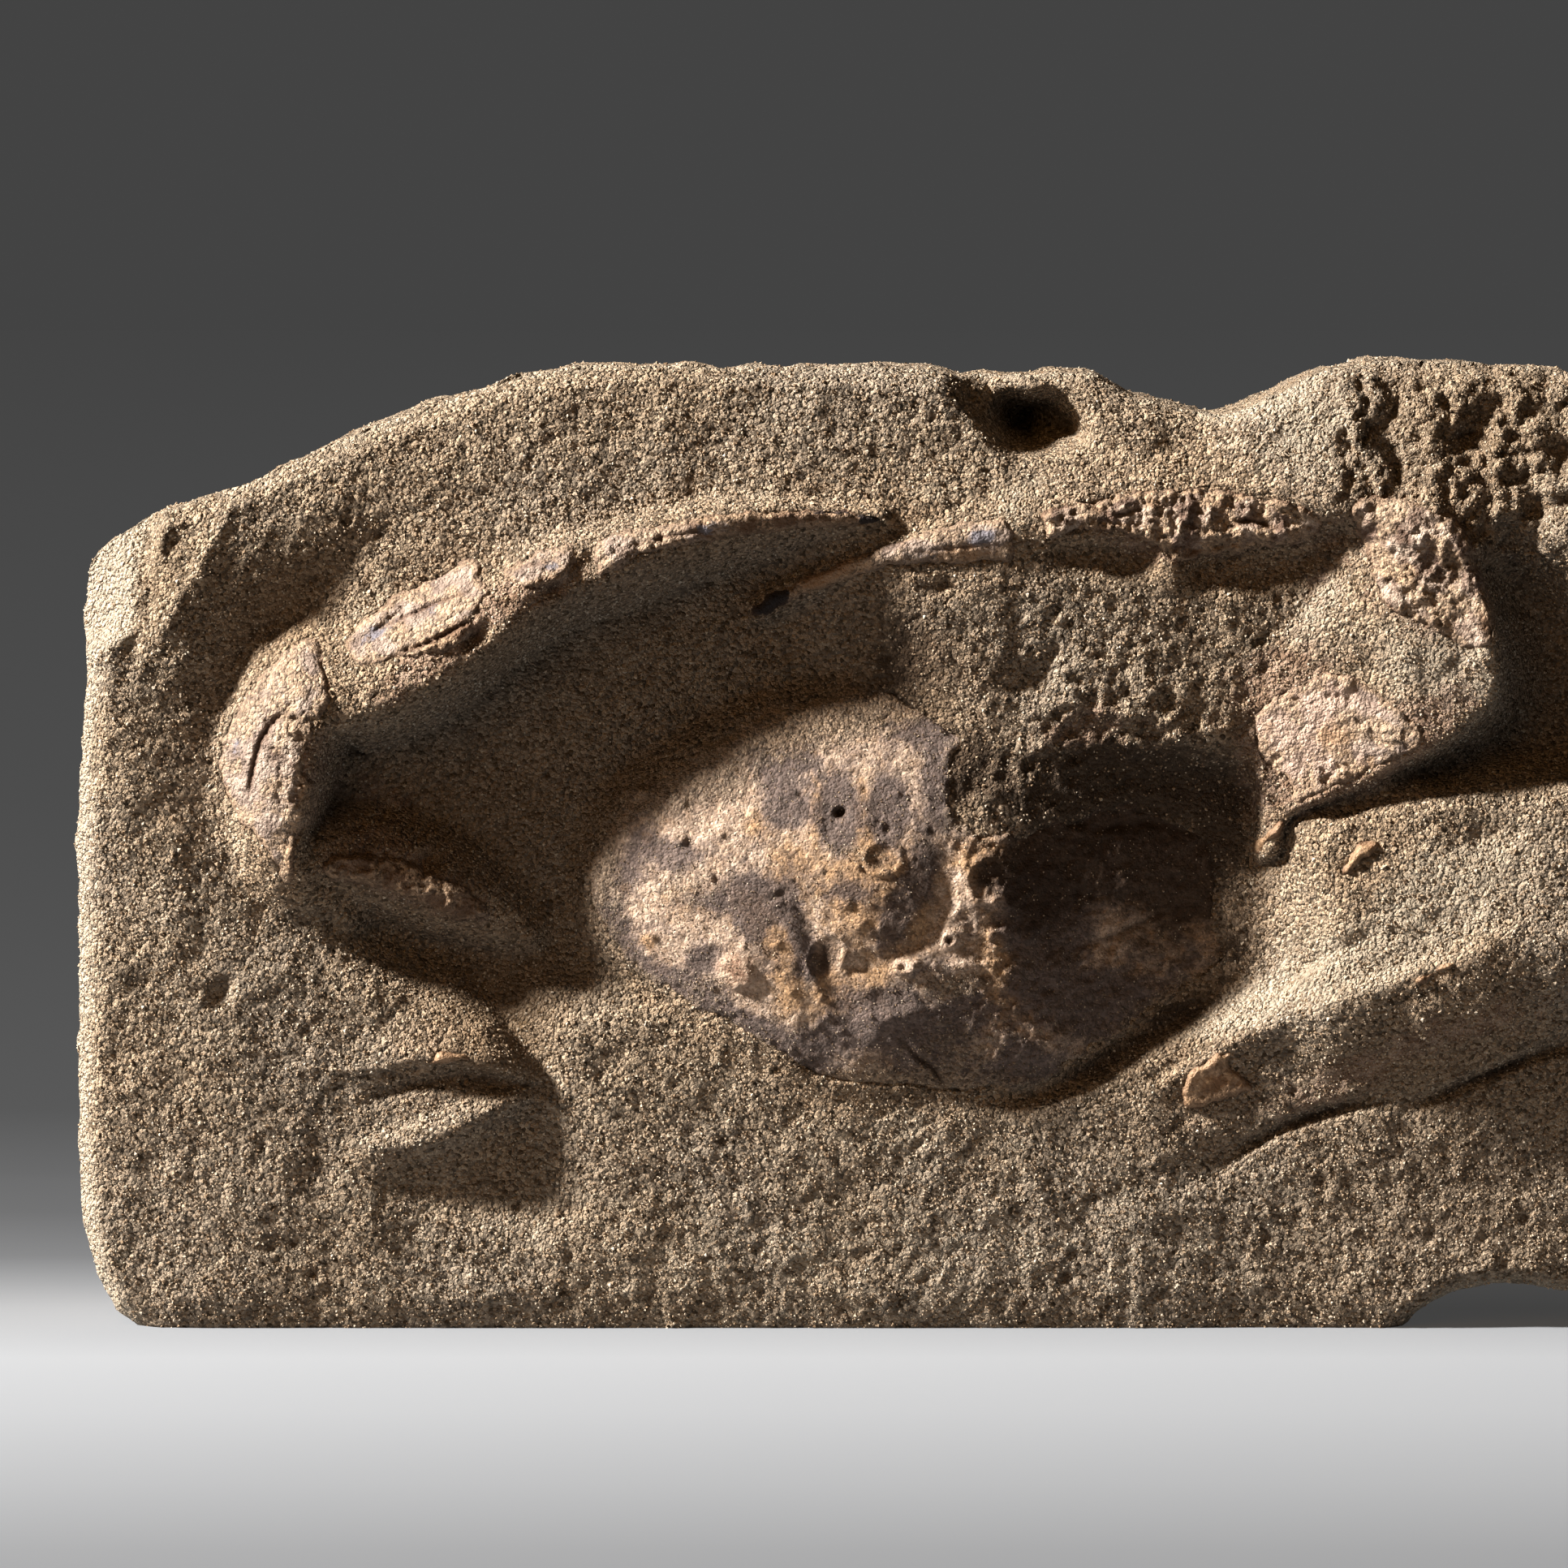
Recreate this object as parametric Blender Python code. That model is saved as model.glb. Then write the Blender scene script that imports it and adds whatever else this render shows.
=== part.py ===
"""A swimming crab preserved in a trimmed block of sandstone.

The carved face is one height over the front view: x runs right, z runs up, and the height stands
out of the stone towards the viewer, all in millimetres. The forms of the face are named below, each
as the places that it runs through, and added or joined into that height. Pieces of shell are plates
that follow it, each sunk in a pocket of its own shape.
"""

import bpy
import numpy as np
from mathutils import Vector
from mathutils.geometry import delaunay_2d_cdt

MM = 0.001

# driving dimensions, in millimetres
BLOCK_HEIGHT = 124.6
BLOCK_DEPTH = 60.0
HIGHEST_RELIEF = 8.0
FACE_Y = HIGHEST_RELIEF - BLOCK_DEPTH / 2.0
BACK_Y = BLOCK_DEPTH / 2.0
CLAW_SHELL = 2.0
CARAPACE_SHELL = 3.0
FLAKE_SHELL = 1.3
SHELL_STANDS_PROUD = 0.6
GAP = 0.3

# how finely the block and the plates are modelled
BLOCK_PITCH = 1.7
BACK_PITCH = 7.0
CARAPACE_PITCH = 4.6
PLATE_PITCH = 3.2
BLOCK_TRIANGLES = 4000
TUBE_FALL = 10.0
SMOOTH_UNDER = 40.0

# wear along the rim of the face, loops around the sides (share of the way back, how far in), the rear
RIM_DROP = 2.6
RIM_WIDTH = 2.4
BEVEL_DROP = 2.6
BEVEL_WIDTH = 4.6
FOOT_DROP = 0.9
FOOT_HEIGHT = 5.0
SIDE_LOOPS = [(0.16, 0.25), (0.4, 0.9), (0.66, 0.5), (0.86, 1.3)]
REAR_INSET = 2.6
REAR_RIM_DROP = 5.5
REAR_RIM_WIDTH = 13.0
SAW_REACH = (130.0, 50.0, 30.0)

# edge of the block in the front view, clockwise from the left end of the base, which is sawn at z 0
OUTLINE = [
    (-95.5, -3), (-98.2, 0), (-101.1, 2.6), (-103.4, 7), (-105.1, 14), (-105.5, 26.5), (-105.3, 45),
    (-105.6, 63), (-104.7, 77), (-104.0, 85), (-104.6, 91.6), (-103.8, 98), (-102.2, 100.8),
    (-98.5, 103), (-95.7, 105), (-88.5, 107.3), (-84, 108.7), (-74, 113.4), (-65.4, 116.8),
    (-57, 119.7), (-48.6, 122.7), (-42.3, 123.8), (-36, 124.2), (-23.4, 124), (-10.8, 123.9),
    (2.8, 123.6), (11.8, 122.7), (20.7, 123), (25.4, 123.1), (27, 122), (31.2, 119.7), (36.4, 118.5),
    (41.7, 117.7), (48, 119.9), (52.2, 122), (56.4, 124.2), (62.7, BLOCK_HEIGHT), (73.2, BLOCK_HEIGHT),
    (79.5, 124.2), (87, 122.9), (94, 119), (100, 111), (103, 100), (104.5, 88), (103.5, 72),
    (105.6, 55), (104, 38), (101, 24), (97, 14), (91, 7.4), (87, 4.6), (80.5, 5.8), (73.2, 5.1),
    (69.5, 3.4), (66.9, 1.3), (64.8, -0.6), (63, -3),
]

# ridges and troughs added to the face: rows of x, z, height, width above the line, width below it
TROUGH_OUTSIDE_LEFT_CLAW = [
    (-46, 109, 0, 14, 8), (-56, 106, -0.3, 18, 8), (-66, 101, -1.3, 22, 8), (-76, 95, -2.5, 24, 8),
    (-83, 87, -2.4, 22, 8), (-88, 77, -1.4, 16, 8), (-89, 67, -1.0, 12, 8), (-84, 57, -1.0, 12, 8),
    (-75, 50, -1.2, 12, 8), (-66, 47, -1, 10, 8),
]
GROOVE_INSIDE_BEVEL = [
    (-95.5, 106, -0.6, 2, 3), (-96, 100, -1.2, 2, 4), (-96.5, 93, -1.2, 2.5, 4),
    (-98.5, 87, -0.5, 2, 4), (-100, 81, 0, 2, 4),
]
FAINT_CREST = [
    (-83, 110, 0.6, 4, 4), (-86, 104, 1.0, 5, 4), (-89.5, 97, 1.0, 5, 5), (-94, 90, 0.5, 4, 5),
    (-98, 85, 0, 3, 4),
]
VALLEY_UNDER_CLAW_BASE = [
    (-70, 52, -1.0, 6, 8), (-62, 49, -2.6, 8, 8), (-56, 43.5, -4.0, 9, 8), (-51.5, 37.5, -4.2, 8, 6),
    (-48.5, 33, -2.6, 7, 5), (-46.5, 29, 0, 6, 4),
]
TRENCH_BESIDE_RIGHT_WRIST = [
    (70, 108.5, -1.5, 5, 5), (77, 104.5, -5, 5, 8), (82.5, 96, -7.5, 9, 9), (84, 86, -7.5, 14, 8),
    (81, 78, -6, 13, 6), (73, 73.5, -4, 6, 4), (64, 69.5, -2.5, 3, 4), (56, 66.5, -1.2, 2, 4),
]
FIRST_GROOVE_UNDER_LEG = [
    (32, 18, 0, 5, 2.5), (38, 19.8, -1.2, 8, 2.5), (44, 21.8, -2.0, 8, 2.2), (49, 24.8, -2.4, 8, 2.0),
    (55, 27, -2.2, 8, 2), (61, 29.3, -1.0, 6, 2), (66, 30, -0.2, 5, 2),
]
SECOND_GROOVE_UNDER_LEG = [
    (64, 28.5, 0, 5, 2.5), (70, 30, -1.6, 8, 2.4), (76, 31.6, -2.0, 8, 2.2), (82, 33.8, -2.0, 8, 2.2),
    (90, 37.5, -1.6, 8, 2.4), (102, 43, -1, 8, 3),
]
NOTCH_INTO_TOP_PIT = [(8, 126, -3, 3, 5), (11, 121, -7, 4, 3.5), (14.5, 117, -9, 4, 4)]

# levels raised or sunk inside an edge: rows of x, z, width of the slope there
BASIN_IN_LEFT_CLAW = [
    (-70, 80, 7), (-62, 84, 8), (-53, 90, 9), (-44, 96, 9), (-35, 99, 9), (-25, 102, 9), (-15, 100, 14),
    (-8, 96, 22), (-3, 89, 28), (0, 80, 30), (2, 68, 28), (-6, 50, 22), (-18, 44, 14), (-34, 44, 9),
    (-43, 43, 9), (-50, 44, 10), (-62, 47, 9), (-72, 53, 7), (-75, 62, 5), (-73, 74, 6),
]
BASIN_RIGHT_OF_CARAPACE = [
    (8, 74, 16), (20, 77, 15), (30, 79, 13), (38, 81, 10), (44, 80, 6), (45.7, 75, 4.5),
    (46.5, 68, 3.5), (48.5, 62, 4), (50.5, 57.5, 5.5), (51.5, 52, 6.5), (50, 46.5, 6.5), (45.5, 42, 6),
    (39, 38.5, 5.5), (32, 34.5, 5), (26, 30.4, 5), (20, 28.2, 6), (14, 29.5, 9), (6, 36, 14),
    (0, 50, 16),
]
LEDGE_BELOW_RIGHT_CLAW = [
    (-10, 95, 12), (0, 99.5, 8), (14, 103, 8), (34, 108, 8), (58, 110, 10), (58, 96, 14), (46, 82, 6),
    (38, 83, 10), (26, 84, 12), (13, 85, 14), (0, 88, 14),
]
HOLLOW_UNDER_LEG_FRAGMENT = [
    (-67, 19, 8), (-60, 20.8, 6), (-55, 23.6, 5), (-50, 27.4, 5), (-46, 33, 8), (-42.5, 28, 12),
    (-41.5, 21, 13), (-44, 15.5, 13), (-50, 13.5, 12), (-60, 14.5, 11),
]
WIDE_HOLLOW_UNDER_PALM = [
    (37, 96, 4), (38, 100, 2), (46, 101, 2), (54, 101, 3), (54, 97, 3), (48, 94.5, 4), (41, 94.5, 4),
]
NARROW_HOLLOW_UNDER_PALM = [
    (18, 99, 4), (20, 102.5, 2), (27, 102.5, 2), (32, 101, 2), (33, 97, 4), (26, 96, 5),
]
CRAG = [
    (44, 114, 12), (55, 107, 5), (66, 110.5, 4), (76, 107.5, 5), (83, 100, 8), (92, 92, 12),
    (108, 84, 14), (112, 132, 10), (56, 134, 12),
]
FRONT_LEG_MOUND = [
    (52.5, 60, 6), (55, 65, 5), (60, 68.3, 4), (66, 71, 3), (71, 70.8, 4), (77, 73, 6), (84, 73, 8),
    (94, 70, 12), (101, 60, 14), (92, 49, 14), (80, 44.5, 14), (69, 40.5, 13), (60, 38, 12),
    (55.5, 39.5, 9), (55, 46, 7), (54.5, 53, 7),
]
RIGHT_WRIST_AND_ARM = [
    (46.5, 60, 5), (46.2, 66, 3.5), (45.7, 73, 4), (46, 79, 8), (50, 87, 11), (54.5, 95, 8),
    (56.8, 103, 5), (61, 107.8, 5), (68.5, 107.3, 4.5), (73.5, 102, 5), (76.5, 95, 5), (78.5, 87, 5),
    (77.5, 80.5, 5.5), (71, 75.3, 5), (64, 72, 4.5), (56.5, 68.3, 3.5), (51, 65.5, 3), (50, 61, 4),
]

# rounded ridges of a height of their own: rows of x, z, crest, then how far above and below the line
# they have fallen by TUBE_FALL
LEFT_CLAW = [
    (-71.5, 53.5, -2.5, 7, 6), (-75.6, 57, 2.0, 8.5, 4), (-78, 62, 4.6, 10, 3.5),
    (-77.4, 67, 5.6, 11, 3.5), (-76, 73, 6.4, 12.5, 3.5), (-74.5, 79, 6.6, 12, 5),
    (-70.5, 83.5, 5.8, 10, 6), (-64.5, 86, 6.8, 9, 5.5), (-57, 90, 7.4, 8, 5), (-50.5, 94.5, 7.0, 7, 5),
    (-43, 98.3, 6.2, 6, 5.5), (-34, 101.2, 5.2, 5.5, 6.5), (-24, 103.3, 4.2, 5, 6.5),
    (-12, 104.5, 2.6, 4.2, 6), (-2, 104.3, 1.0, 3.5, 5),
]
LEFT_ARM = [
    (-75, 61, -0.5, 6, 5), (-66, 59, -0.8, 6, 6), (-58, 56.5, -2.0, 6, 6), (-50, 53.5, -4.5, 6, 6),
]
RIGHT_FINGER_AND_PALM = [
    (-17.5, 92.8, -3.2, 3, 4), (-12, 96, -1.6, 4, 5), (-5, 98.8, 0.2, 4.5, 6), (3, 101, 1.8, 5, 6.5),
    (12, 102.6, 3.0, 6, 5.5), (22, 104.6, 4.4, 7.5, 3.4), (32, 105.4, 5.0, 8.5, 3.6),
    (42, 105.3, 5.2, 8.5, 3.2), (51, 105, 5.0, 8, 3.0), (57, 105, 4.6, 8, 4),
]
REAR_LEG = [
    (24, 20, -6.5, 8, 16), (31, 26.5, -3.4, 8, 20), (37, 31, -0.6, 8.5, 22), (43, 36.0, 1.0, 8.8, 24),
    (50, 40.0, 1.8, 9.2, 25), (58, 43.2, 2.3, 11, 26), (67, 46.4, 2.6, 14, 28), (76, 49.6, 2.8, 17, 29),
    (88, 54, 2.4, 19, 28), (104, 60, 1, 19, 28),
]
LEFT_LEG_LOWER_RIDGE = [
    (-75, 23, -4.0, 10, 6), (-67.5, 23.8, -1.0, 9, 6), (-61, 24.8, 1.0, 8, 5), (-56, 26.8, 1.5, 6.5, 5),
    (-52, 28.8, 1.1, 4.5, 4.5), (-48.5, 30, -0.4, 3.5, 4.5), (-46, 30, -2.6, 3.5, 4.5),
]
LEFT_LEG_UPPER_RIDGE = [
    (-77, 33, -2.0, 16, 4), (-69, 33.8, 0.4, 15, 3.2), (-61.5, 35.3, 2.6, 13, 2.6),
    (-55, 35, 2.7, 9, 2.4), (-50.5, 33.8, 1.0, 6, 2.4), (-46.5, 32, -1.8, 4, 2.4),
]

SLIT_IN_LEFT_LEG = [
    (-70, 29.2, 0, 2, 2), (-65.5, 30.8, -1.5, 1.7, 2), (-60, 32.1, -2.4, 1.5, 2),
    (-55, 32.3, -2.4, 1.5, 2), (-50.5, 31.6, -1.8, 1.5, 2), (-47, 30.9, 0, 1.5, 2),
]

# single lumps and pits: x, z, two radii, turn in degrees, height, squareness
CHIPS_OF_REAR = [
    (-30, 46, 26, 17, 20, 2.4, 1), (38, 72, 20, 26, -15, 2.0, 1), (-70, 88, 14, 18, 0, -1.4, 1),
    (72, 30, 18, 14, 10, -1.2, 1), (6, 104, 24, 9, 5, 1.8, 1),
]
LUMPS_AND_PITS = [
    (17.6, 117.2, 5.2, 3.9, 4, -18, 2.2), (-87, 43.5, 1.6, 1.9, -35, -1.6, 1),
    (75.5, 64, 4.2, 3.2, 0, -1.4, 1), (60, 119, 4, 3, 20, 1.8, 1),
    (63.5, 112.5, 3.6, 1.8, -60, -3.2, 1), (68.5, 118, 3.6, 2.8, 0, 2.0, 1),
    (74, 116, 2.2, 3.6, -30, -4.6, 1), (80, 119.5, 3.6, 2.8, 10, 1.6, 1),
    (72, 109.5, 4, 2.2, -20, 1.6, 1), (81.5, 106, 2.4, 3.8, 15, -4.2, 1),
    (88, 112, 4.5, 3.5, 0, 2.2, 1), (90, 101, 3.4, 4.2, 30, -3.2, 1), (97, 96, 4, 5, 0, 1.6, 1),
    (84.5, 113, 2.2, 2.4, 0, -3.2, 1), (93, 79, 6, 4, -20, -2.6, 1), (98, 44, 4, 8, 10, 1.8, 1),
    (92, 24, 6, 4, 25, -1.8, 1),
]

# the body shell under its outline, and the part of it that no stone covers
DOME = [
    (-41.5, 55), (-40.5, 62), (-37.5, 68.5), (-31, 73.5), (-22, 79.5), (-12, 83), (0, 86.5), (12, 89.5),
    (26, 88), (38, 85), (46, 78), (48.5, 70), (51, 60), (51.5, 52), (46, 43.5), (35, 38), (26, 32.6),
    (14, 29.5), (0, 29), (-10, 30.2), (-20, 35), (-31, 41.5), (-38.5, 48),
]
DOME_CROWN = (-2.0, 58.0)
DOME_HEIGHT = 4.6
LOWER_RIGHT_OF_DOME = [
    (15, 60, 8), (16, 64.2, 3), (22, 66, 2.6), (32, 68, 2.6), (38, 66, 2.6), (46, 62.5, 3), (58, 56, 6),
    (50, 36, 8), (34, 24, 8), (26, 30, 14), (22, 44, 14),
]
RIGHT_SHELL_GROOVE = [
    (10, 72, 0, 3, 3), (8.5, 66, -0.4, 3, 3), (7, 60, -0.7, 3, 3), (6, 55.5, -1.0, 3, 3),
    (4.5, 51.5, -0.9, 2.5, 3), (0, 48.8, -0.5, 2.5, 2.5), (-6, 47, -0.5, 2.5, 2.5),
]
LEFT_SHELL_GROOVE = [
    (-14, 55.5, -0.3, 2, 2), (-11.5, 52, -0.7, 2, 2), (-9, 48.5, -1.3, 2.4, 2.4),
    (-7, 44, -0.6, 2.5, 2.5), (-4, 40, -0.3, 2.5, 2.5),
]
SHELL_SWELLS = [
    (12, 57, 4.5, 7.5, -15, 1.4, 1), (-3.5, 57.5, 5.5, 7, 0, 0.9, 1), (-28, 58, 8, 9, 0, 0.6, 1),
    (0, 41, 6, 4, 0, 0.8, 1),
]

# outlines of the pieces of shell
CARAPACE = [
    (-41, 56), (-39.8, 62), (-37, 68), (-32, 72.3), (-27, 75), (-22, 78.6), (-17, 81), (-9, 82.3),
    (-2, 83.8), (4, 86.3), (9, 87.6), (12.5, 85), (12.5, 80), (9.5, 75), (8, 70), (9.5, 66.4),
    (14, 65.3), (20, 66.5), (28, 68.8), (33, 68), (38, 66), (42.6, 63.4), (45.2, 60.2), (47.2, 56.5),
    (47.6, 52), (44.6, 47), (38, 42.4), (31.5, 38.6), (25, 34.6), (20, 31.4), (14, 29.9), (8, 29.2),
    (2, 29.8), (-6, 30.4), (-12, 31.5), (-15, 34.3), (-18.5, 36.7), (-22, 38.3), (-28, 41.7),
    (-33.5, 45.2), (-38.2, 50),
]
LEFT_WRIST_SHELL = [
    (-75, 90), (-78, 88.2), (-82, 84.5), (-85.5, 79), (-87.3, 74), (-86.7, 70), (-85, 66.5),
    (-82, 63.5), (-79.8, 60), (-78.5, 57.2), (-76.6, 58.6), (-76.8, 61.5), (-76, 64.3), (-73.8, 66),
    (-73.5, 68.5), (-74.2, 70.8), (-75.6, 73), (-75, 75.8), (-73.8, 78.6), (-72.2, 81.5), (-72.4, 84.5),
    (-73.2, 87.4),
]
LEFT_PALM_SHELL = [
    (-70.6, 88.4), (-69, 91.4), (-66, 93.8), (-62, 95.9), (-58, 98), (-54.5, 99.6), (-52.8, 99.2),
    (-53, 97), (-51.6, 95.4), (-53.4, 92.8), (-54, 90.2), (-56, 88.2), (-60, 87.4), (-65, 86.3),
    (-69, 85.6),
]
LEFT_PALM_END_SHELL = [
    (-50.4, 97.6), (-48.4, 99.6), (-44, 101.4), (-41.2, 101.9), (-40.4, 100), (-41.4, 98), (-43, 96.6),
    (-46, 95.8), (-49, 96.2),
]
LEFT_FINGER_SHELL = [
    (-38.2, 102.3), (-34, 103.5), (-29, 104.6), (-24, 105.4), (-18, 105.9), (-12, 106), (-6, 105.7),
    (-1.6, 104.9), (-1.8, 103.8), (-5, 103.3), (-10, 103.2), (-16, 102.7), (-22, 101.8), (-27, 101),
    (-32, 99.8), (-36, 97.9), (-37.8, 97.2), (-38.6, 99),
]
LEFT_ARM_SHELL = [
    (-73, 61.2), (-68, 61.7), (-63, 61.2), (-58.5, 59), (-54, 56.4), (-52.4, 53.6), (-55, 52.6),
    (-60, 54), (-65, 56.2), (-70, 57.8), (-73.6, 58.4),
]
RIGHT_FINGER_SHELL = [
    (-18.6, 92), (-17.2, 94.4), (-14, 96.2), (-10, 98.1), (-5, 100.3), (0, 102.1), (5, 103.7),
    (10, 104.7), (14, 104.9), (15.4, 102.4), (14.5, 99.2), (9, 98.6), (3, 98.6), (-2, 97.8), (-8, 95.7),
    (-13, 93.9), (-16, 92),
]
RIGHT_PALM_SHELL = [
    (18.8, 105.6), (24, 107.2), (30, 108.2), (38, 108.6), (46, 107.8), (52, 106.3), (54.4, 104.5),
    (53.6, 102.3), (50, 101), (45, 100.2), (40, 99.6), (36.5, 98.8), (34.6, 99.3), (33, 101),
    (29, 102.6), (24, 102.6), (19.5, 101.8), (18.6, 103.8),
]
RIGHT_WRIST_SHELL = [
    (58, 106.4), (61, 107.9), (66, 107.4), (70.5, 105.4), (73, 102), (75.2, 97.5), (76.5, 93),
    (75.5, 88.5), (72.5, 88), (69, 90), (66.5, 91.5), (62, 94), (60.5, 97), (60, 100), (58.4, 102.6),
]
RIGHT_ARM_SHELL = [
    (46.4, 74), (45.6, 77), (46, 80), (49, 82.5), (54, 84.8), (58, 85), (62, 82.5), (66, 79.5),
    (67.6, 76.6), (65, 74.3), (60, 71.9), (56, 70), (53, 68.3), (50.6, 68), (50, 71), (48, 72),
]
RIGHT_BASE_FLAKE = [
    (45.9, 62.2), (47, 64), (49.3, 65.8), (50.1, 65.1), (48.9, 63.3), (47.5, 61.8), (46.6, 60.8),
]
RIGHT_FRONT_LEG_SHELL = [
    (57.1, 59.5), (58, 62), (60.1, 63.6), (61.7, 63.2), (61.5, 61.8), (59.8, 60.7), (58.2, 59.1),
]
RIGHT_REAR_LEG_SHELL = [
    (36.6, 30.2), (37.2, 32.6), (39, 34.6), (41.5, 36.1), (43.4, 36.2), (43.1, 34.6), (44.8, 33),
    (46.2, 31.4), (43, 29.7), (40, 28.7), (37.7, 28.5),
]
RIGHT_REAR_LEG_SLIVER = [
    (66, 45.8), (68.4, 47.4), (71.5, 48.9), (74.3, 49.8), (75, 49), (71.9, 47.9), (69, 46.3),
    (67, 45.2),
]
LEFT_LEG_SHELL = [(-60.2, 34.4), (-58.9, 36.5), (-57.5, 36.4), (-55, 36.0), (-54.7, 34.9), (-57, 34.3)]


def smooth_line(rows, per_span=10):
    """A smooth curve through rows of numbers, whose first two columns are x and z."""
    rows = np.array(rows, float)
    rows = np.vstack([2 * rows[0] - rows[1], rows, 2 * rows[-1] - rows[-2]])
    places = []
    for a, b, c, d in zip(rows[:-3], rows[1:-2], rows[2:-1], rows[3:]):
        places += [through(a, b, c, d, t) for t in np.arange(per_span) / per_span]
    return np.array(places + [rows[-2]])


def smooth_loop(rows, per_span=4):
    """A smooth closed curve through rows of numbers."""
    rows = np.array(rows, float)
    places = []
    for i in range(len(rows)):
        a, b, c, d = (rows[(i + k) % len(rows)] for k in (-1, 0, 1, 2))
        places += [through(a, b, c, d, t) for t in np.arange(per_span) / per_span]
    return np.array(places)


def through(a, b, c, d, t):
    """A place between b and c, on the curve that also passes a and d."""
    bent = (2 * a - 5 * b + 4 * c - d) * t * t + (3 * b - a - 3 * c + d) * t**3
    return 0.5 * (2 * b + (c - a) * t + bent)


def nearest(line, x, z):
    """Distance to a line, the side (1 left of its way), and its other columns at the nearest place."""
    distance = np.full(x.shape, 1e9)
    side = np.zeros(x.shape)
    values = np.zeros((line.shape[1] - 2,) + x.shape)
    for a, b in zip(line[:-1], line[1:]):
        dx, dz = b[:2] - a[:2]
        t = np.clip(((x - a[0]) * dx + (z - a[1]) * dz) / (dx * dx + dz * dz + 1e-12), 0, 1)
        away = np.hypot(x - a[0] - t * dx, z - a[1] - t * dz)
        closer = away < distance
        distance = np.where(closer, away, distance)
        side = np.where(closer, np.sign((z - a[1]) * dx - (x - a[0]) * dz), side)
        for k in range(len(values)):
            values[k] = np.where(closer, a[k + 2] + t * (b[k + 2] - a[k + 2]), values[k])
    return distance, side, values


def inside(loop, x, z):
    """True where a place is inside a closed line."""
    hit = np.zeros(np.shape(x), bool)
    for a, b in zip(loop, np.roll(loop, -1, axis=0)):
        crosses = (a[1] > z) != (b[1] > z)
        meets_at = (b[0] - a[0]) * (z - a[1]) / (b[1] - a[1] + 1e-12) + a[0]
        hit ^= crosses & (x < meets_at)
    return hit


def closed(loop):
    return np.vstack([loop, loop[:1]])


def ease(t):
    """A soft step from 0 to 1."""
    t = np.clip(t, 0, 1)
    return t * t * t * (t * (6 * t - 15) + 10)


def higher(a, b, rounding):
    """The higher of two heights, with the corner between them rounded."""
    t = np.clip(0.5 + 0.5 * (a - b) / rounding, 0, 1)
    return b + (a - b) * t + rounding * t * (1 - t)


def ridge(x, z, rows, squareness=1.6):
    distance, side, (height, above, below) = nearest(smooth_line(rows), x, z)
    share = np.clip(distance / np.where(side > 0, above, below), 0, 1)
    return height * (1 - share**squareness) ** 2


def tube(x, z, rows, power=2.0):
    distance, side, (crest, above, below) = nearest(smooth_line(rows), x, z)
    return crest - TUBE_FALL * (distance / np.where(side > 0, above, below)) ** power


def level(x, z, rows, height):
    loop = smooth_loop(rows)
    distance, _, (slope,) = nearest(closed(loop), x, z)
    signed = np.where(inside(loop, x, z), distance, -distance)
    return height * ease(0.5 + signed / slope)


def lumps(x, z, rows):
    total = np.zeros(np.shape(x))
    for at_x, at_z, long, short, turn, height, squareness in rows:
        c, s = np.cos(np.radians(turn)), np.sin(np.radians(turn))
        u = ((x - at_x) * c + (z - at_z) * s) / long
        v = ((z - at_z) * c - (x - at_x) * s) / short
        total += height * np.exp(-1.2 * (u * u + v * v) ** squareness)
    return total


def stone_face(x, z):
    """The carved stone without the body shell."""
    h = -5.0 * np.clip((z - 100) / 26, 0, 1.2) ** 1.4 * ease((x + 110) / 30)
    h -= 4.0 * np.clip((44 - z) / 44, 0, 1.2) ** 1.5
    h -= 1.2 * np.clip((-80 - x) / 25, 0, 1.2) ** 2 * ease((90 - z) / 20)
    h -= 2.5 * ease((x - 20) / 60) * ease((40 - z) / 30)
    h += ridge(x, z, TROUGH_OUTSIDE_LEFT_CLAW, 1.2)
    h += ridge(x, z, GROOVE_INSIDE_BEVEL)
    h += ridge(x, z, FAINT_CREST)
    h += level(x, z, BASIN_IN_LEFT_CLAW, -7.0)
    h += level(x, z, BASIN_RIGHT_OF_CARAPACE, -7.5)
    h += level(x, z, LEDGE_BELOW_RIGHT_CLAW, 1.4)
    h += ridge(x, z, VALLEY_UNDER_CLAW_BASE)
    h += level(x, z, HOLLOW_UNDER_LEG_FRAGMENT, -2.4)
    h += ridge(x, z, TRENCH_BESIDE_RIGHT_WRIST)
    h += level(x, z, WIDE_HOLLOW_UNDER_PALM, -5)
    h += level(x, z, NARROW_HOLLOW_UNDER_PALM, -2.6)
    h += level(x, z, CRAG, 6.0)
    h += level(x, z, FRONT_LEG_MOUND, 4.0)
    h = higher(h, tube(x, z, LEFT_CLAW), 1.3)
    h = higher(h, tube(x, z, LEFT_ARM), 2)
    h = higher(h, tube(x, z, RIGHT_FINGER_AND_PALM), 1.0)
    wrist = level(x, z, RIGHT_WRIST_AND_ARM, 12.5) - 5.6 - 3.2 * (np.clip(x - 60, 0, None) / 17) ** 2
    wrist -= 1.2 * (np.clip(60 - x, 0, None) / 12) ** 2 + 3.2 * ((z - 90) / 28) ** 2
    h = higher(h, wrist, 1.2)
    h = higher(h, tube(x, z, REAR_LEG, 1.55), 1.4)
    h += ridge(x, z, FIRST_GROOVE_UNDER_LEG)
    h += ridge(x, z, SECOND_GROOVE_UNDER_LEG)
    h = higher(h, tube(x, z, LEFT_LEG_LOWER_RIDGE, 1.7), 0.7)
    h = higher(h, tube(x, z, LEFT_LEG_UPPER_RIDGE), 0.7)
    h += ridge(x, z, SLIT_IN_LEFT_LEG)
    h += ridge(x, z, NOTCH_INTO_TOP_PIT)
    return h + lumps(x, z, LUMPS_AND_PITS)


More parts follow.
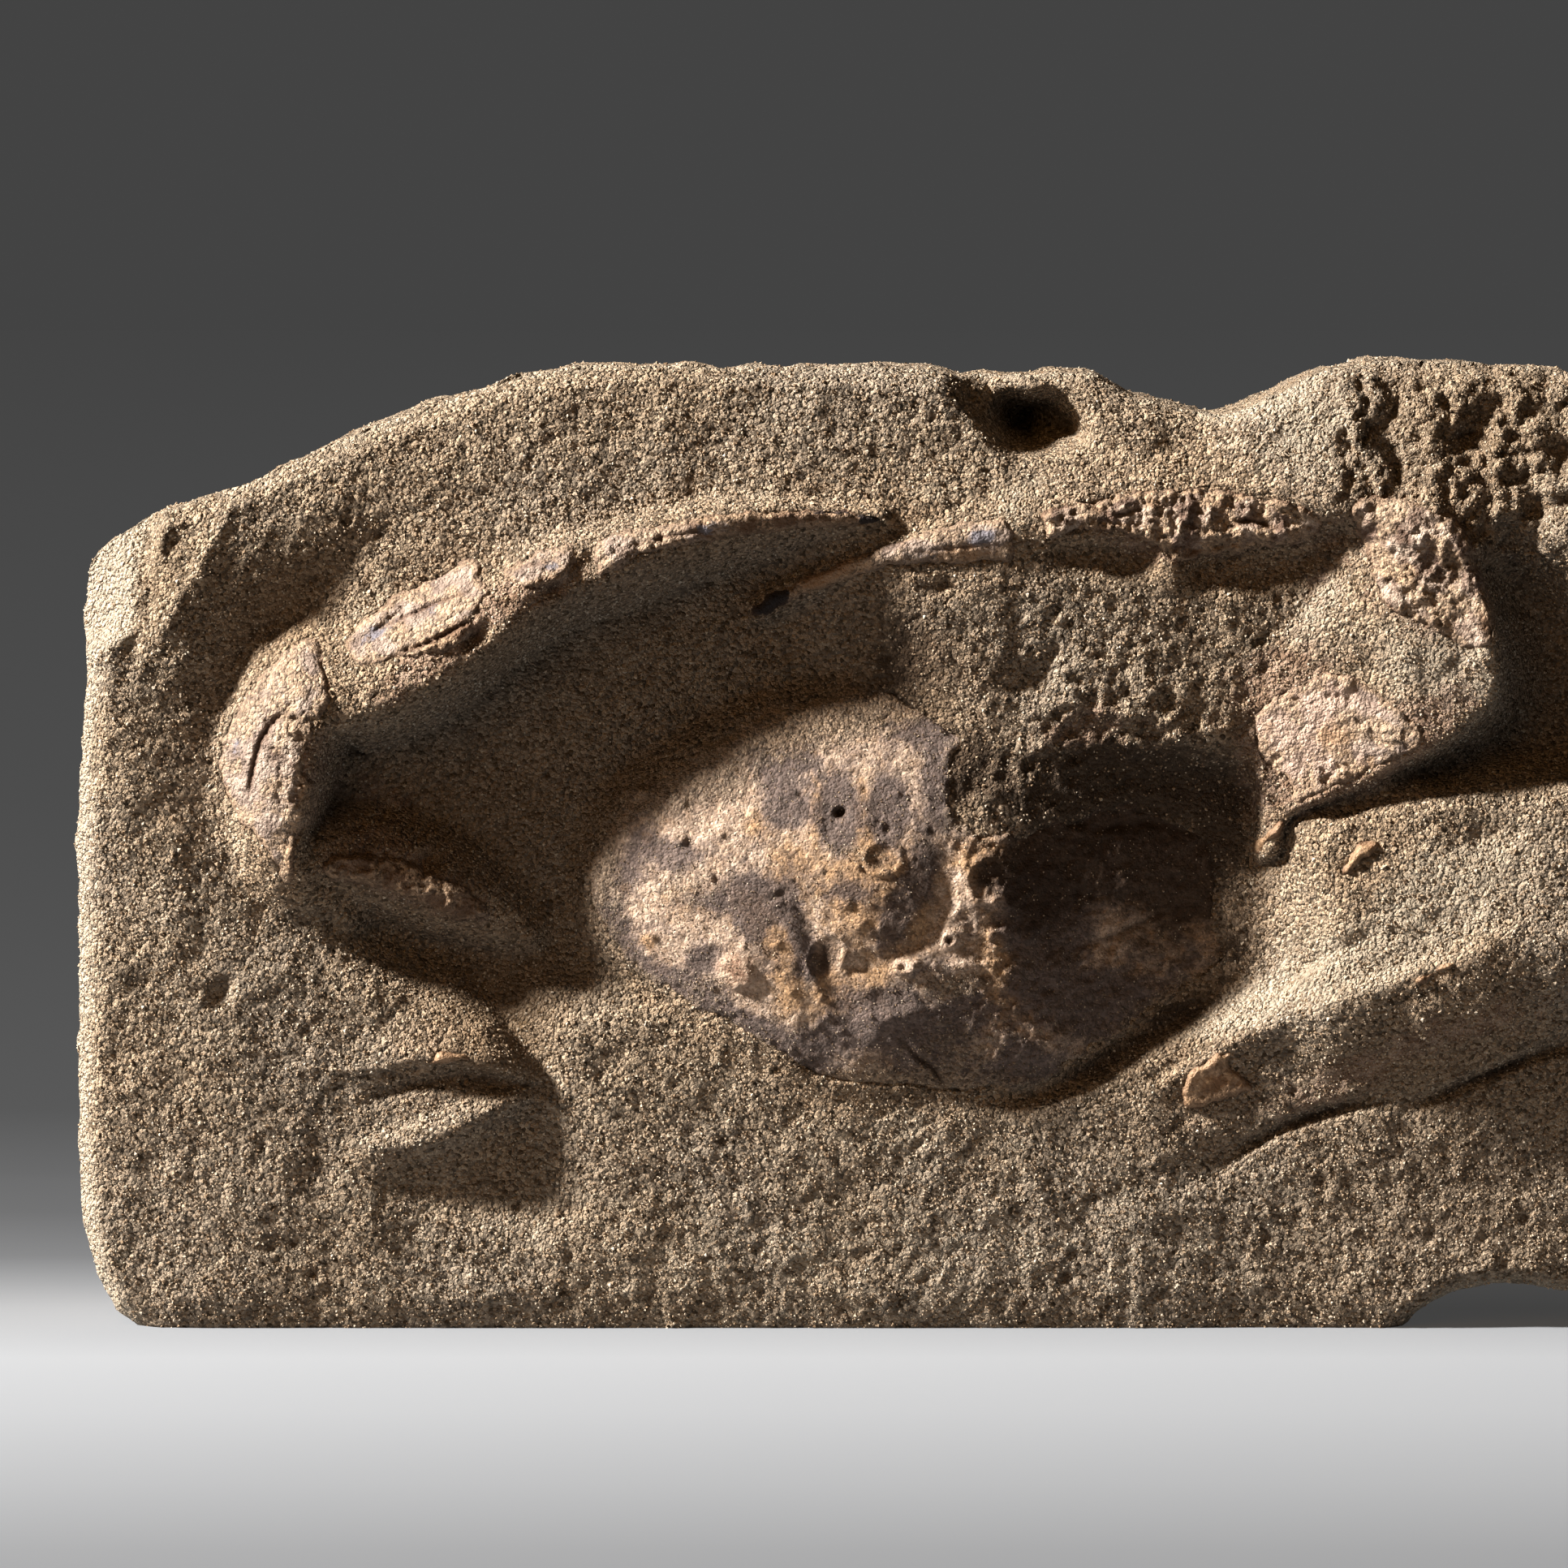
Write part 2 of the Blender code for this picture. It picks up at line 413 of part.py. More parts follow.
def worn_edge(x, z):
    """How far the face drops back along its rim, most of all at the bevelled top left corner."""
    away, _, _ = nearest(closed(np.array(OUTLINE, float)), x, z)
    bevel = ease((z - 80) / 8) * ease((-80 - x) / 10)
    worn = np.clip(1 - away / (RIM_WIDTH + BEVEL_WIDTH * bevel), 0, 1) ** 1.4
    return (RIM_DROP + BEVEL_DROP * bevel) * worn + FOOT_DROP * np.clip(1 - z / FOOT_HEIGHT, 0, 1) ** 1.5


def body_dome(x, z):
    """The domed body, shell and all, with its low lower right part and its grooves."""
    loop = smooth_loop(DOME)
    away, _, _ = nearest(closed(loop), x, z)
    away = np.where(inside(loop, x, z), away, -away)
    u = x - DOME_CROWN[0]
    v = z - DOME_CROWN[1]
    h = DOME_HEIGHT - 8.6 * (np.clip(-u, 0, None) / 40) ** 2
    beyond = np.clip(u - 8 * ease((56 - z) / 18), 0, None)
    h -= 13.5 * (np.sqrt((beyond / 52) ** 2 + 0.04) - 0.2)
    h -= 8.5 * (np.clip(v, 0, None) / 25) ** 1.7 * (1 - 0.55 * ease(u / 25))
    h -= 6.5 * (np.clip(-v, 0, None) / 33) ** 2
    h -= 2.0 * np.exp(-np.clip(away, -3, None) / 1.6)
    h += level(x, z, LOWER_RIGHT_OF_DOME, -1.6)
    h += ridge(x, z, RIGHT_SHELL_GROOVE, 2.0)
    h += ridge(x, z, LEFT_SHELL_GROOVE, 2.0)
    h += lumps(x, z, SHELL_SWELLS)
    return np.where(away > -2.5, h, -99)


def relief(x, z):
    """The whole face: stone, and the body dome where it stands out of the stone."""
    x, z = np.asarray(x, float), np.asarray(z, float)
    stone = stone_face(x, z) - worn_edge(x, z)
    dome = body_dome(x, z)
    shell = inside(smooth_loop(CARAPACE), x, z)
    return np.where(shell, np.maximum(dome, stone - 0.5), higher(stone, dome, 2.2))


def back(x, z):
    """How far back the rear face lies: a few broad chipped faces and a worn rim."""
    x, z = np.asarray(x, float), np.asarray(z, float)
    away, _, _ = nearest(closed(np.array(OUTLINE, float)), x, z)
    y = BACK_Y - REAR_RIM_DROP * np.clip(1 - away / REAR_RIM_WIDTH, 0, 1) ** 2
    y -= 2.6 * np.clip((x - 34) / 70, 0, None) + 3.2 * np.clip((-52 - x) / 54, 0, None)
    y -= 4.0 * np.clip((z - 78) / 46, 0, None) ** 1.3
    return np.minimum(y - lumps(x, z, CHIPS_OF_REAR), BACK_Y)


def resample(loop, pitch):
    """The loop's corners, anticlockwise, with places added to keep the steps within the pitch."""
    nxt = np.roll(loop, -1, axis=0)
    if np.sum(loop[:, 0] * nxt[:, 1] - nxt[:, 0] * loop[:, 1]) < 0:
        loop = loop[::-1]
    places = []
    for a, b in zip(loop, np.roll(loop, -1, axis=0)):
        count = max(1, int(np.ceil(np.hypot(*(b - a)) / pitch)))
        places += [a + (b - a) * k / count for k in range(count)]
    return np.array(places)


def filled(ring, pitch):
    """Places in the front view, the ring first, then a staggered grid, and the triangles between."""
    low, high = ring.min(axis=0), ring.max(axis=0)
    rows = []
    for k, z in enumerate(np.arange(low[1], high[1], pitch * 0.87)):
        rows += [(x, z) for x in np.arange(low[0] + (k % 2) * pitch / 2, high[0], pitch)]
    grid = np.array(rows)
    away, _, _ = nearest(closed(ring), grid[:, 0], grid[:, 1])
    grid = grid[inside(ring, grid[:, 0], grid[:, 1]) & (away > pitch * 0.55)]
    places = np.vstack([ring, grid])
    count = len(ring)
    edges = [(k, (k + 1) % count) for k in range(count)]
    found = delaunay_2d_cdt([Vector(p) for p in places], edges, [list(range(count))], 1, 1e-6)
    return places, [tuple(face) for face in found[2]]


def mesh_object(name, points, faces):
    """A mesh from points in millimetres, added to the scene."""
    mesh = bpy.data.meshes.new(name)
    mesh.from_pydata([tuple(float(v) * MM for v in p) for p in points], [], [tuple(f) for f in faces])
    mesh.update()
    obj = bpy.data.objects.new(name, mesh)
    bpy.context.scene.collection.objects.link(obj)
    return obj


def face_out(obj):
    """Turns the faces of a closed triangle mesh outwards if its volume comes out negative."""
    mesh = obj.data
    volume = 0.0
    for face in mesh.polygons:
        a, b, c = (mesh.vertices[k].co for k in face.vertices)
        volume += a.dot(b.cross(c))
    if volume < 0:
        mesh.flip_normals()


def smooth_where_round(obj):
    """Shades the gentle bends smooth and leaves the edges crisp."""
    mesh = obj.data
    mesh.polygons.foreach_set("use_smooth", [True] * len(mesh.polygons))
    mesh.set_sharp_from_angle(angle=np.radians(SMOOTH_UNDER))


def between(front, behind, ring, faces):
    """Points and faces of the body between two surfaces over one set of places, walls along the ring."""
    count = len(front)
    points = np.vstack([front, behind])
    sides = []
    for a in range(ring):
        b = (a + 1) % ring
        sides += [(b, a, count + a), (b, count + a, count + b)]
    turned = [(c + count, b + count, a + count) for a, b, c in faces]
    return points, list(faces) + sides + turned


def placed(places, height):
    """Front-view places at a height above the face, as points in space."""
    return np.column_stack([places[:, 0], FACE_Y - height, places[:, 1]])


def pushed_out(ring, by):
    """The anticlockwise ring moved outwards along its own normals."""
    along = np.roll(ring, -1, axis=0) - np.roll(ring, 1, axis=0)
    normal = np.column_stack([along[:, 1], -along[:, 0]])
    return ring + by * normal / np.linalg.norm(normal, axis=1, keepdims=True)


def material(name, colour, roughness):
    made = bpy.data.materials.new(name)
    made.use_nodes = True
    shader = made.node_tree.nodes["Principled BSDF"]
    shader.inputs["Base Color"].default_value = (*colour, 1)
    shader.inputs["Roughness"].default_value = roughness
    made.diffuse_color = (*colour, 1)
    return made


def helper(obj):
    """Marks a cutter, which is no part of the object."""
    obj.hide_render = True
    obj.display_type = "WIRE"
    return obj


def shell_plate(name, outline, thickness, proud, pitch, finish):
    """Adds a piece of shell that follows the face. Returns the shape of the pocket that it lies in."""
    ring = resample(np.array(outline, float), pitch)
    places, faces = filled(ring, pitch)
    height = relief(places[:, 0], places[:, 1])
    top = placed(places, height + proud)
    underside = placed(places, height + proud - thickness)
    points, all_faces = between(top, underside, len(ring), faces)
    plate = mesh_object(name, points, all_faces)
    face_out(plate)
    smooth_where_round(plate)
    plate.data.materials.append(finish)

    count = len(ring)
    wide = np.vstack([pushed_out(ring, GAP), places])
    floor = np.concatenate([height[:count], height]) + proud - thickness - GAP
    faces = [tuple(count + k for k in face) for face in faces]
    for a in range(count):
        b = (a + 1) % count
        faces += [(a, b, count + b), (a, count + b, count + a)]
    opening = np.full(len(wide), HIGHEST_RELIEF + 4.0)
    points, all_faces = between(placed(wide, opening), placed(wide, floor), count, faces)
    pocket = helper(mesh_object("pocket_for_" + name, points, all_faces))
    face_out(pocket)
    return pocket


def drawn_in(ring, by):
    """The outline drawn in towards the middle of the block, its foot kept where it is."""
    inwards = np.array([0.0, BLOCK_HEIGHT * 0.45]) - ring
    moved = ring + by[:, None] * inwards / np.linalg.norm(inwards, axis=1)[:, None]
    foot = ring[:, 1] < 1
    moved[foot, 1] = ring[foot, 1]
    return moved


def block(finish):
    """The stone as it was before sawing: carved face, worn sides, chipped back."""
    ring = resample(np.array(OUTLINE, float), BLOCK_PITCH)
    count = len(ring)
    places, faces = filled(ring, BLOCK_PITCH)
    front = placed(places, relief(places[:, 0], places[:, 1]))
    rear_edge = back(ring[:, 0], ring[:, 1])
    along = np.cumsum(np.hypot(*(np.roll(ring, -1, axis=0) - ring).T))
    layers = [front]
    for share, inset in SIDE_LOOPS:
        wave = 0.7 * np.sin(along / 13 + 9 * share) + 0.5 * np.sin(along / 5.3 + 4 * share)
        moved = drawn_in(ring, np.clip(inset + wave, 0, None))
        y = front[:count, 1] * (1 - share) + rear_edge * share
        layers.append(np.column_stack([moved[:, 0], y, moved[:, 1]]))
    rear_places, rear_faces = filled(drawn_in(ring, np.full(count, REAR_INSET)), BACK_PITCH)
    rear_y = back(rear_places[:, 0], rear_places[:, 1])
    layers.append(np.column_stack([rear_places[:, 0], rear_y, rear_places[:, 1]]))

    starts = np.cumsum([0] + [len(layer) for layer in layers])
    all_faces = list(faces)
    for here, there in zip(starts[:-2], starts[1:-1]):
        for a in range(count):
            b = (a + 1) % count
            all_faces += [(here + b, here + a, there + a), (here + b, there + a, there + b)]
    last = starts[-2]
    all_faces += [(last + c, last + b, last + a) for a, b, c in rear_faces]
    stone = mesh_object("matrix_block", np.vstack(layers), all_faces)
    face_out(stone)
    smooth_where_round(stone)
    stone.data.materials.append(finish)

    thin = stone.modifiers.new("fewer faces where it is flat", "DECIMATE")
    thin.ratio = BLOCK_TRIANGLES / len(all_faces)
    thin.use_collapse_triangulate = True
    return stone


def saw_cut():
    """Everything below the base."""
    x, y, deep = SAW_REACH
    below = [(-x, -y, -deep), (x, -y, -deep), (x, y, -deep), (-x, y, -deep)]
    corners = below + [(a, b, 0) for a, b, _ in below]
    sides = [(0, 3, 2, 1), (4, 5, 6, 7), (0, 1, 5, 4), (1, 2, 6, 5), (2, 3, 7, 6), (3, 0, 4, 7)]
    return helper(mesh_object("saw_cut", corners, sides))


def cut(stone, name, tool):
    boolean = stone.modifiers.new(name, "BOOLEAN")
    boolean.operation = "DIFFERENCE"
    boolean.solver = "EXACT"
    boolean.object = tool


def joined(name, cutters):
    """One cutter from several that don't touch."""
    points, faces = [], []
    for cutter in cutters:
        start = len(points)
        points += [tuple(v.co / MM) for v in cutter.data.vertices]
        faces += [tuple(start + i for i in f.vertices) for f in cutter.data.polygons]
        bpy.data.objects.remove(cutter)
    return helper(mesh_object(name, points, faces))


for old in list(bpy.data.objects):
    bpy.data.objects.remove(old)

sandstone = material("sandstone", (0.46, 0.37, 0.26), 0.95)
shell_brown = material("carapace_shell", (0.36, 0.25, 0.17), 0.7)
shell_pink = material("claw_shell", (0.52, 0.39, 0.31), 0.75)
shell_red = material("broken_shell", (0.36, 0.24, 0.19), 0.85)
shell_amber = material("leg_shell", (0.55, 0.36, 0.18), 0.6)

BODY = (CARAPACE_SHELL, 0.0, CARAPACE_PITCH)
CLAW = (CLAW_SHELL, SHELL_STANDS_PROUD, PLATE_PITCH)
FLAKE = (FLAKE_SHELL, SHELL_STANDS_PROUD, PLATE_PITCH)
PLATES = [
    ("carapace", CARAPACE, BODY, shell_brown),
    ("left_claw_wrist", LEFT_WRIST_SHELL, CLAW, shell_pink),
    ("left_claw_palm", LEFT_PALM_SHELL, CLAW, shell_pink),
    ("left_claw_palm_end", LEFT_PALM_END_SHELL, CLAW, shell_pink),
    ("left_claw_finger", LEFT_FINGER_SHELL, CLAW, shell_pink),
    ("left_claw_arm", LEFT_ARM_SHELL, CLAW, shell_pink),
    ("right_claw_finger", RIGHT_FINGER_SHELL, CLAW, shell_pink),
    ("right_claw_palm", RIGHT_PALM_SHELL, CLAW, shell_red),
    ("right_claw_wrist", RIGHT_WRIST_SHELL, CLAW, shell_red),
    ("right_claw_arm", RIGHT_ARM_SHELL, CLAW, shell_pink),
    ("right_claw_base_flake", RIGHT_BASE_FLAKE, FLAKE, shell_amber),
    ("right_front_leg_shell", RIGHT_FRONT_LEG_SHELL, FLAKE, shell_amber),
    ("right_rear_leg_shell", RIGHT_REAR_LEG_SHELL, FLAKE, shell_amber),
    ("right_rear_leg_sliver", RIGHT_REAR_LEG_SLIVER, FLAKE, shell_amber),
    ("left_leg_shell", LEFT_LEG_SHELL, FLAKE, shell_amber),
]

stone = block(sandstone)
pockets = []
for name, outline, sizes, finish in PLATES:
    pockets.append(shell_plate(name, outline, *sizes, finish))
cut(stone, "sawn base", saw_cut())
cut(stone, "pockets for the shell", joined("shell_pockets", pockets))
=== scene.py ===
# %% [markdown]
# # A fossil swimming crab in a block of sandstone
# The block was sawn flat below and split open on the plane where the crab lay. Someone then picked
# the sand away until the body, both claws and the stubs of three legs stood out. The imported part
# already has every piece in its place. This lesson gives the pieces their grain, cracks and colour.

import bmesh
import bpy
import numpy as np
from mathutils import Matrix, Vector
from mathutils.geometry import delaunay_2d_cdt


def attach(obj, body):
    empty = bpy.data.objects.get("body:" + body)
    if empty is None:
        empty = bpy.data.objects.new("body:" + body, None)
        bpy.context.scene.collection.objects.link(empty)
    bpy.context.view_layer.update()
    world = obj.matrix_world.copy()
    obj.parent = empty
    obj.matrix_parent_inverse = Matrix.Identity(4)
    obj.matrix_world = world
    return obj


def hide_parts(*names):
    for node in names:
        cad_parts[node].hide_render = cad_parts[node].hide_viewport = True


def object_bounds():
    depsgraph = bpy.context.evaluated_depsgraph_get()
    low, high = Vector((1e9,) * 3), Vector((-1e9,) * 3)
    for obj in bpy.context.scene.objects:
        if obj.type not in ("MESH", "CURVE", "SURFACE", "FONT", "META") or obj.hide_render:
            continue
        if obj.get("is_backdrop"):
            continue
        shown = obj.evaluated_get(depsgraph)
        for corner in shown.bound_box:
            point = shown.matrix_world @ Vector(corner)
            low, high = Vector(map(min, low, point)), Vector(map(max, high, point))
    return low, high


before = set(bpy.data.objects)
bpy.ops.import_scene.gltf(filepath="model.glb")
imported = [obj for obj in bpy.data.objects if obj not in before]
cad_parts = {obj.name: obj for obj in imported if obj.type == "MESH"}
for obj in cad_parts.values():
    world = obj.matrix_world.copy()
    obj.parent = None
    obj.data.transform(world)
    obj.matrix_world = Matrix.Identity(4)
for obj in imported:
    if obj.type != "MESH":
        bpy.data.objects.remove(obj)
cad_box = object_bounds()
print("the part has", len(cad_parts), "pieces:", ", ".join(sorted(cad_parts)))

# %% [markdown]
# ## One height over a front view
# A carving like this has almost no undercuts, so its face can be one height over each place of the
# front view. x runs right and z up, in millimetres, and the height stands out towards the viewer.
# A height is easy to build from parts: ridges and troughs are added to it, tubes and domes are
# joined into it. Working in numpy, a hundred thousand places are found at once.

# %% Sizes, and curves through a few places
MM = 0.001
BLOCK_HEIGHT = 124.6
FACE_Y = -22.0
BACK_Y = cad_box[1].y / MM


def through(a, b, c, d, t):
    """A place between b and c, on the curve that also passes a and d."""
    bent = (2 * a - 5 * b + 4 * c - d) * t * t + (3 * b - a - 3 * c + d) * t**3
    return 0.5 * (2 * b + (c - a) * t + bent)


def curve(rows, per_span):
    """Places on a curve through all the rows but the first and the last."""
    spans = zip(rows[:-3], rows[1:-2], rows[2:-1], rows[3:])
    return [through(*span, t) for span in spans for t in np.arange(per_span) / per_span]


def smooth_line(rows):
    """A smooth curve through rows of numbers, whose first two columns are x and z."""
    rows = np.array(rows, float)
    longer = np.vstack([2 * rows[0] - rows[1], rows, 2 * rows[-1] - rows[-2]])
    return np.array(curve(longer, 8) + [rows[-1]])


def smooth_loop(rows):
    rows = np.array(rows, float)
    return np.array(curve(np.vstack([rows[-1:], rows, rows[:2]]), 4))


def closed(loop):
    return np.vstack([loop, loop[:1]])


def ease(t):
    """A soft step from 0 to 1."""
    t = np.clip(t, 0, 1)
    return t * t * t * (t * (6 * t - 15) + 10)


print("3 places become", len(smooth_line([(0, 0), (1, 1), (2, 0)])), "on a smooth line")

# %% [markdown]
# ## Ridges, tubes, levels and lumps
# Each form of the face is named and drawn by the few places that it runs through. A ridge adds a
# height that fades away from its line, a tube falls away from a crest like a buried cylinder, a
# level lifts or sinks everything inside a loop, and a lump is a single soft bump or pit. Most forms
# are small, so a form is worked out only for the places near it, which keeps the script quick.

# %% How far a place is from a line
FAR = 1e9


def nearest(line, x, z):
    """Distance to a line, the side (1 left of its way), and its other columns at the nearest place."""
    distance = np.full(x.shape, FAR)
    side = np.zeros(x.shape)
    values = np.zeros((line.shape[1] - 2,) + x.shape)
    for a, b in zip(line[:-1], line[1:]):
        dx, dz = b[:2] - a[:2]
        t = np.clip(((x - a[0]) * dx + (z - a[1]) * dz) / (dx * dx + dz * dz + 1e-12), 0, 1)
        away = np.hypot(x - a[0] - t * dx, z - a[1] - t * dz)
        closer = away < distance
        distance = np.where(closer, away, distance)
        side = np.where(closer, np.sign((z - a[1]) * dx - (x - a[0]) * dz), side)
        for k in range(len(values)):
            values[k] = np.where(closer, a[k + 2] + t * (b[k + 2] - a[k + 2]), values[k])
    return distance, side, values


def beside(line, x, z):
    """The height of a line where it is nearest, and how far off it is, in widths of that side."""
    distance, side, columns = nearest(line, x, z)
    return columns[0], distance / np.where(side > 0, columns[1], columns[-1])


def inside(loop, x, z):
    """True where a place is inside a closed line."""
    hit = np.zeros(np.shape(x), bool)
    for a, b in zip(loop, np.roll(loop, -1, axis=0)):
        crosses = (a[1] > z) != (b[1] > z)
        meets_at = (b[0] - a[0]) * (z - a[1]) / (b[1] - a[1] + 1e-12) + a[0]
        hit ^= crosses & (x < meets_at)
    return hit


def near(line, x, z, reach):
    """True for the places within reach of a line's own box."""
    low, high = line[:, :2].min(axis=0) - reach, line[:, :2].max(axis=0) + reach
    return (x > low[0]) & (x < high[0]) & (z > low[1]) & (z < high[1])


flat_line = np.array([[0.0, 0], [5, 0]])
print("from (1, 2) to a line along x:", nearest(flat_line, np.array([1.0]), np.array([2.0]))[0])

# %% Ridges, tubes, cracks and levels
TUBE_FALL = 10.0
NOWHERE = -99.0


def ridge(x, z, rows, squareness=1.6):
    """Rows: x, z, height, width on the left of the line's way, and on the right if it differs."""
    line = smooth_line(rows)
    height = np.zeros(x.shape)
    here = near(line, x, z, line[:, 3:].max())
    crest, share = beside(line, x[here], z[here])
    height[here] = crest * (1 - np.clip(share, 0, 1) ** squareness) ** 2
    return height


def tube(x, z, rows, power=2.0):
    """A buried cylinder along a crest. Rows as for a ridge, with the height of the crest."""
    line = smooth_line(rows)
    height = np.full(x.shape, NOWHERE)
    here = near(line, x, z, 1.3 * line[:, 3:].max())
    crest, share = beside(line, x[here], z[here])
    height[here] = crest - TUBE_FALL * share**power
    return height


def cracks(x, z, lines, height=0.0):
    """Sharp ridges or cracks along several lines, added to a height."""
    for line in lines:
        height = height + ridge(x, z, line, 1.2)
    return height


def depth_inside(loop, x, z, reach):
    """How far inside a loop each place is, negative outside it, and the loop's other columns."""
    away = np.full(x.shape, -FAR)
    here = near(loop, x, z, reach)
    distance, _, values = nearest(closed(loop), x[here], z[here])
    away[here] = np.where(inside(loop, x[here], z[here]), distance, -distance)
    columns = np.ones((len(values),) + x.shape)
    columns[:, here] = values
    return away, columns


def level(x, z, rows, height):
    """Rows: x, z, width of the slope there."""
    loop = smooth_loop(rows)
    away, (slope,) = depth_inside(loop, x, z, loop[:, 2].max())
    return height * ease(0.5 + away / slope)


print("on the crest of a ridge:", ridge(np.array([1.0]), np.array([0.0]), [(0, 0, 2, 1), (2, 0, 2, 1)]))

# %% Lumps, rings, and the higher of two heights
LUMP_FALL = 1.2
LUMP_REACH = 2.2


def in_oval(x, z, long, short, turn):
    """Places along and across an oval, in its two radii."""
    c, s = np.cos(np.radians(turn)), np.sin(np.radians(turn))
    return (x * c + z * s) / long, (z * c - x * s) / short


def lumps(x, z, rows):
    """Rows: x, z, two radii, height, and turn in degrees and squareness where they aren't 0 and 1."""
    total = np.zeros(np.shape(x))
    for row in rows:
        at_x, at_z, long, short, height, turn, squareness = (*row, *(0, 1)[len(row) - 5 :])
        here = np.hypot(x - at_x, z - at_z) < LUMP_REACH * max(long, short)
        u, v = in_oval(x[here] - at_x, z[here] - at_z, long, short, turn)
        total[here] += height * np.exp(-LUMP_FALL * (u * u + v * v) ** squareness)
    return total


def rings(x, z, rows):
    """Raised rings, such as healed scars. Rows: x, z, two radii, height, width, and turn if any."""
    total = np.zeros(np.shape(x))
    for at_x, at_z, long, short, height, width, *turn in rows:
        here = np.hypot(x - at_x, z - at_z) < max(long, short) + 4 * width
        u, v = in_oval(x[here] - at_x, z[here] - at_z, long, short, sum(turn))
        off = (np.hypot(u, v) - 1) * 0.5 * (long + short) / width
        total[here] += height * np.exp(-off * off)
    return total


def higher(a, b, rounding):
    """The higher of two heights, with the corner between them rounded."""
    t = np.clip(0.5 + 0.5 * (a - b) / rounding, 0, 1)
    return b + (a - b) * t + rounding * t * (1 - t)


print("on top of a lump:", lumps(np.array([0.0]), np.array([0.0]), [(0, 0, 1, 1, 0.5)]))

# %% [markdown]
# ## Rough nature: two kinds of noise
# Stone is rough at every size at once. Gradient noise makes soft hills, and a few sizes of it added
# together look like a broken surface. Cell noise gives each place the distance to the nearest of
# many scattered points, which makes the knobs and crannies of a crumbling face. Both mix a seed
# into whole-number cells instead of drawing from a list, so the same place always gets the same
# value, wherever the mesh has its points.

# %% Gradient noise and cell noise, the same on every run
random = np.random.default_rng(7)
SLOPES = random.normal(size=(256, 3))
SLOPES /= np.linalg.norm(SLOPES, axis=1, keepdims=True)
SCATTER = random.random(size=(1024, 2))


def mixed(cell, seed):
    """A whole number for each cell, which looks drawn by chance."""
    n = cell @ np.array([73856093, 19349663, 83492791][: cell.shape[1]]) + seed * 26544357
    n = (n ^ (n >> 13)) * 1274126177 & 0x7FFFFFFF
    return n ^ (n >> 15)


def hills(places, wavelength, seed):
    """Soft hills and hollows from about -1 to 1 over places in space."""
    places = places / wavelength
    cell = np.floor(places).astype(np.int64)
    within = places - cell
    fade = within**3 * (within * (within * 6 - 15) + 10)
    total = np.zeros(len(places))
    for corner in np.ndindex(2, 2, 2):
        corner = np.array(corner)
        slope = SLOPES[mixed(cell + corner, seed) % 256]
        weight = np.prod(np.where(corner == 1, fade, 1 - fade), axis=1)
        total += weight * np.einsum("ij,ij->i", slope, within - corner)
    return 1.7 * total


def rough(places, wavelength, seed, sizes=3, falls=0.5):
    """Hills of several sizes, each half as wide as the one before. Each use has its own seed."""
    return sum(hills(places, wavelength / 2**k, seed + k) * falls**k for k in range(sizes))


def knobs(x, z, size, seed):
    """0 at the middle of each scattered knob, growing to about 1 in the crannies between them."""
    places = np.column_stack([x, z]) / size
    cell = np.floor(places).astype(np.int64)
    best = np.full(len(places), FAR)
    for step in np.ndindex(3, 3):
        at = cell + np.array(step) - 1
        point = at + SCATTER[mixed(at, seed) % 1024]
        best = np.minimum(best, np.hypot(*(places - point).T))
    return np.clip(best, 0, 1)


def in_plane(x, z):
    """Front-view places as places in space, for the noise."""
    return np.column_stack([x, np.zeros(len(x)), z])


print("noise at three places:", np.round(hills(np.array([[1.0, 2, 3], [4, 5, 6], [9, 1, 7]]), 3, 1), 3))

# %% [markdown]
# ## The outline of the block
# The block was sawn below and knocked into shape with a chisel elsewhere. Its top left corner is
# bevelled, a saddle and a pit break its top edge, and a low arch is worn out of its foot on the
# right. Four open sides, instead of one loop, let a grid be laid between them later.

# %% The four sides of the outline, each from left to right or from below upwards
BASE_SIDE = [
    (-98.2, 0), (65.4, 0), (66.9, 1.3), (69.5, 3.4), (73.2, 5.1), (80.5, 5.8), (87, 4.6), (91, 7.4),
    (97, 14),
]
LEFT_SIDE = [
    (-98.2, 0), (-101.1, 2.6), (-103.4, 7), (-105.1, 14), (-105.5, 26.5), (-105.3, 45), (-105.6, 63),
    (-104.7, 77), (-104, 85), (-104.6, 91.6), (-103.8, 98), (-102.2, 100.8), (-98.5, 103),
]
TOP_SIDE = [
    (-98.5, 103), (-95.7, 105), (-88.5, 107.3), (-84, 108.7), (-74, 113.4), (-65.4, 116.8), (-57, 119.7),
    (-48.6, 122.7), (-42.3, 123.8), (-36, 124.2), (-23.4, 124), (-10.8, 123.9), (2.8, 123.6), (11.8, 122.7),
    (20.7, 123), (25.4, 123.1), (27, 122), (31.2, 119.7), (36.4, 118.5), (41.7, 117.7), (48, 119.9),
    (52.2, 122), (56.4, 124.2), (62.7, BLOCK_HEIGHT), (73.2, BLOCK_HEIGHT), (79.5, 124.2), (87, 122.9),
    (94, 119), (100, 111),
]
RIGHT_SIDE = [(97, 14), (101, 24), (104, 38), (105.6, 55), (103.5, 72), (104.5, 88), (103, 100), (100, 111)]
BELOW_THE_SAW = [(63, -3), (-95.5, -3)]
OUTLINE = np.array(LEFT_SIDE + TOP_SIDE[1:] + RIGHT_SIDE[-2::-1] + BASE_SIDE[-2:1:-1] + BELOW_THE_SAW, float)


def from_rim(x, z):
    """How far each place is from the outline."""
    return nearest(closed(OUTLINE), x, z)[0]


def on_bevel(x, z):
    """1 on the bevelled corner, 0 elsewhere."""
    return ease((-97 - x) / 2) * ease((z - 86) / 4)


print("outline", np.ptp(OUTLINE[:, 0]).round(1), "x", BLOCK_HEIGHT, "mm")

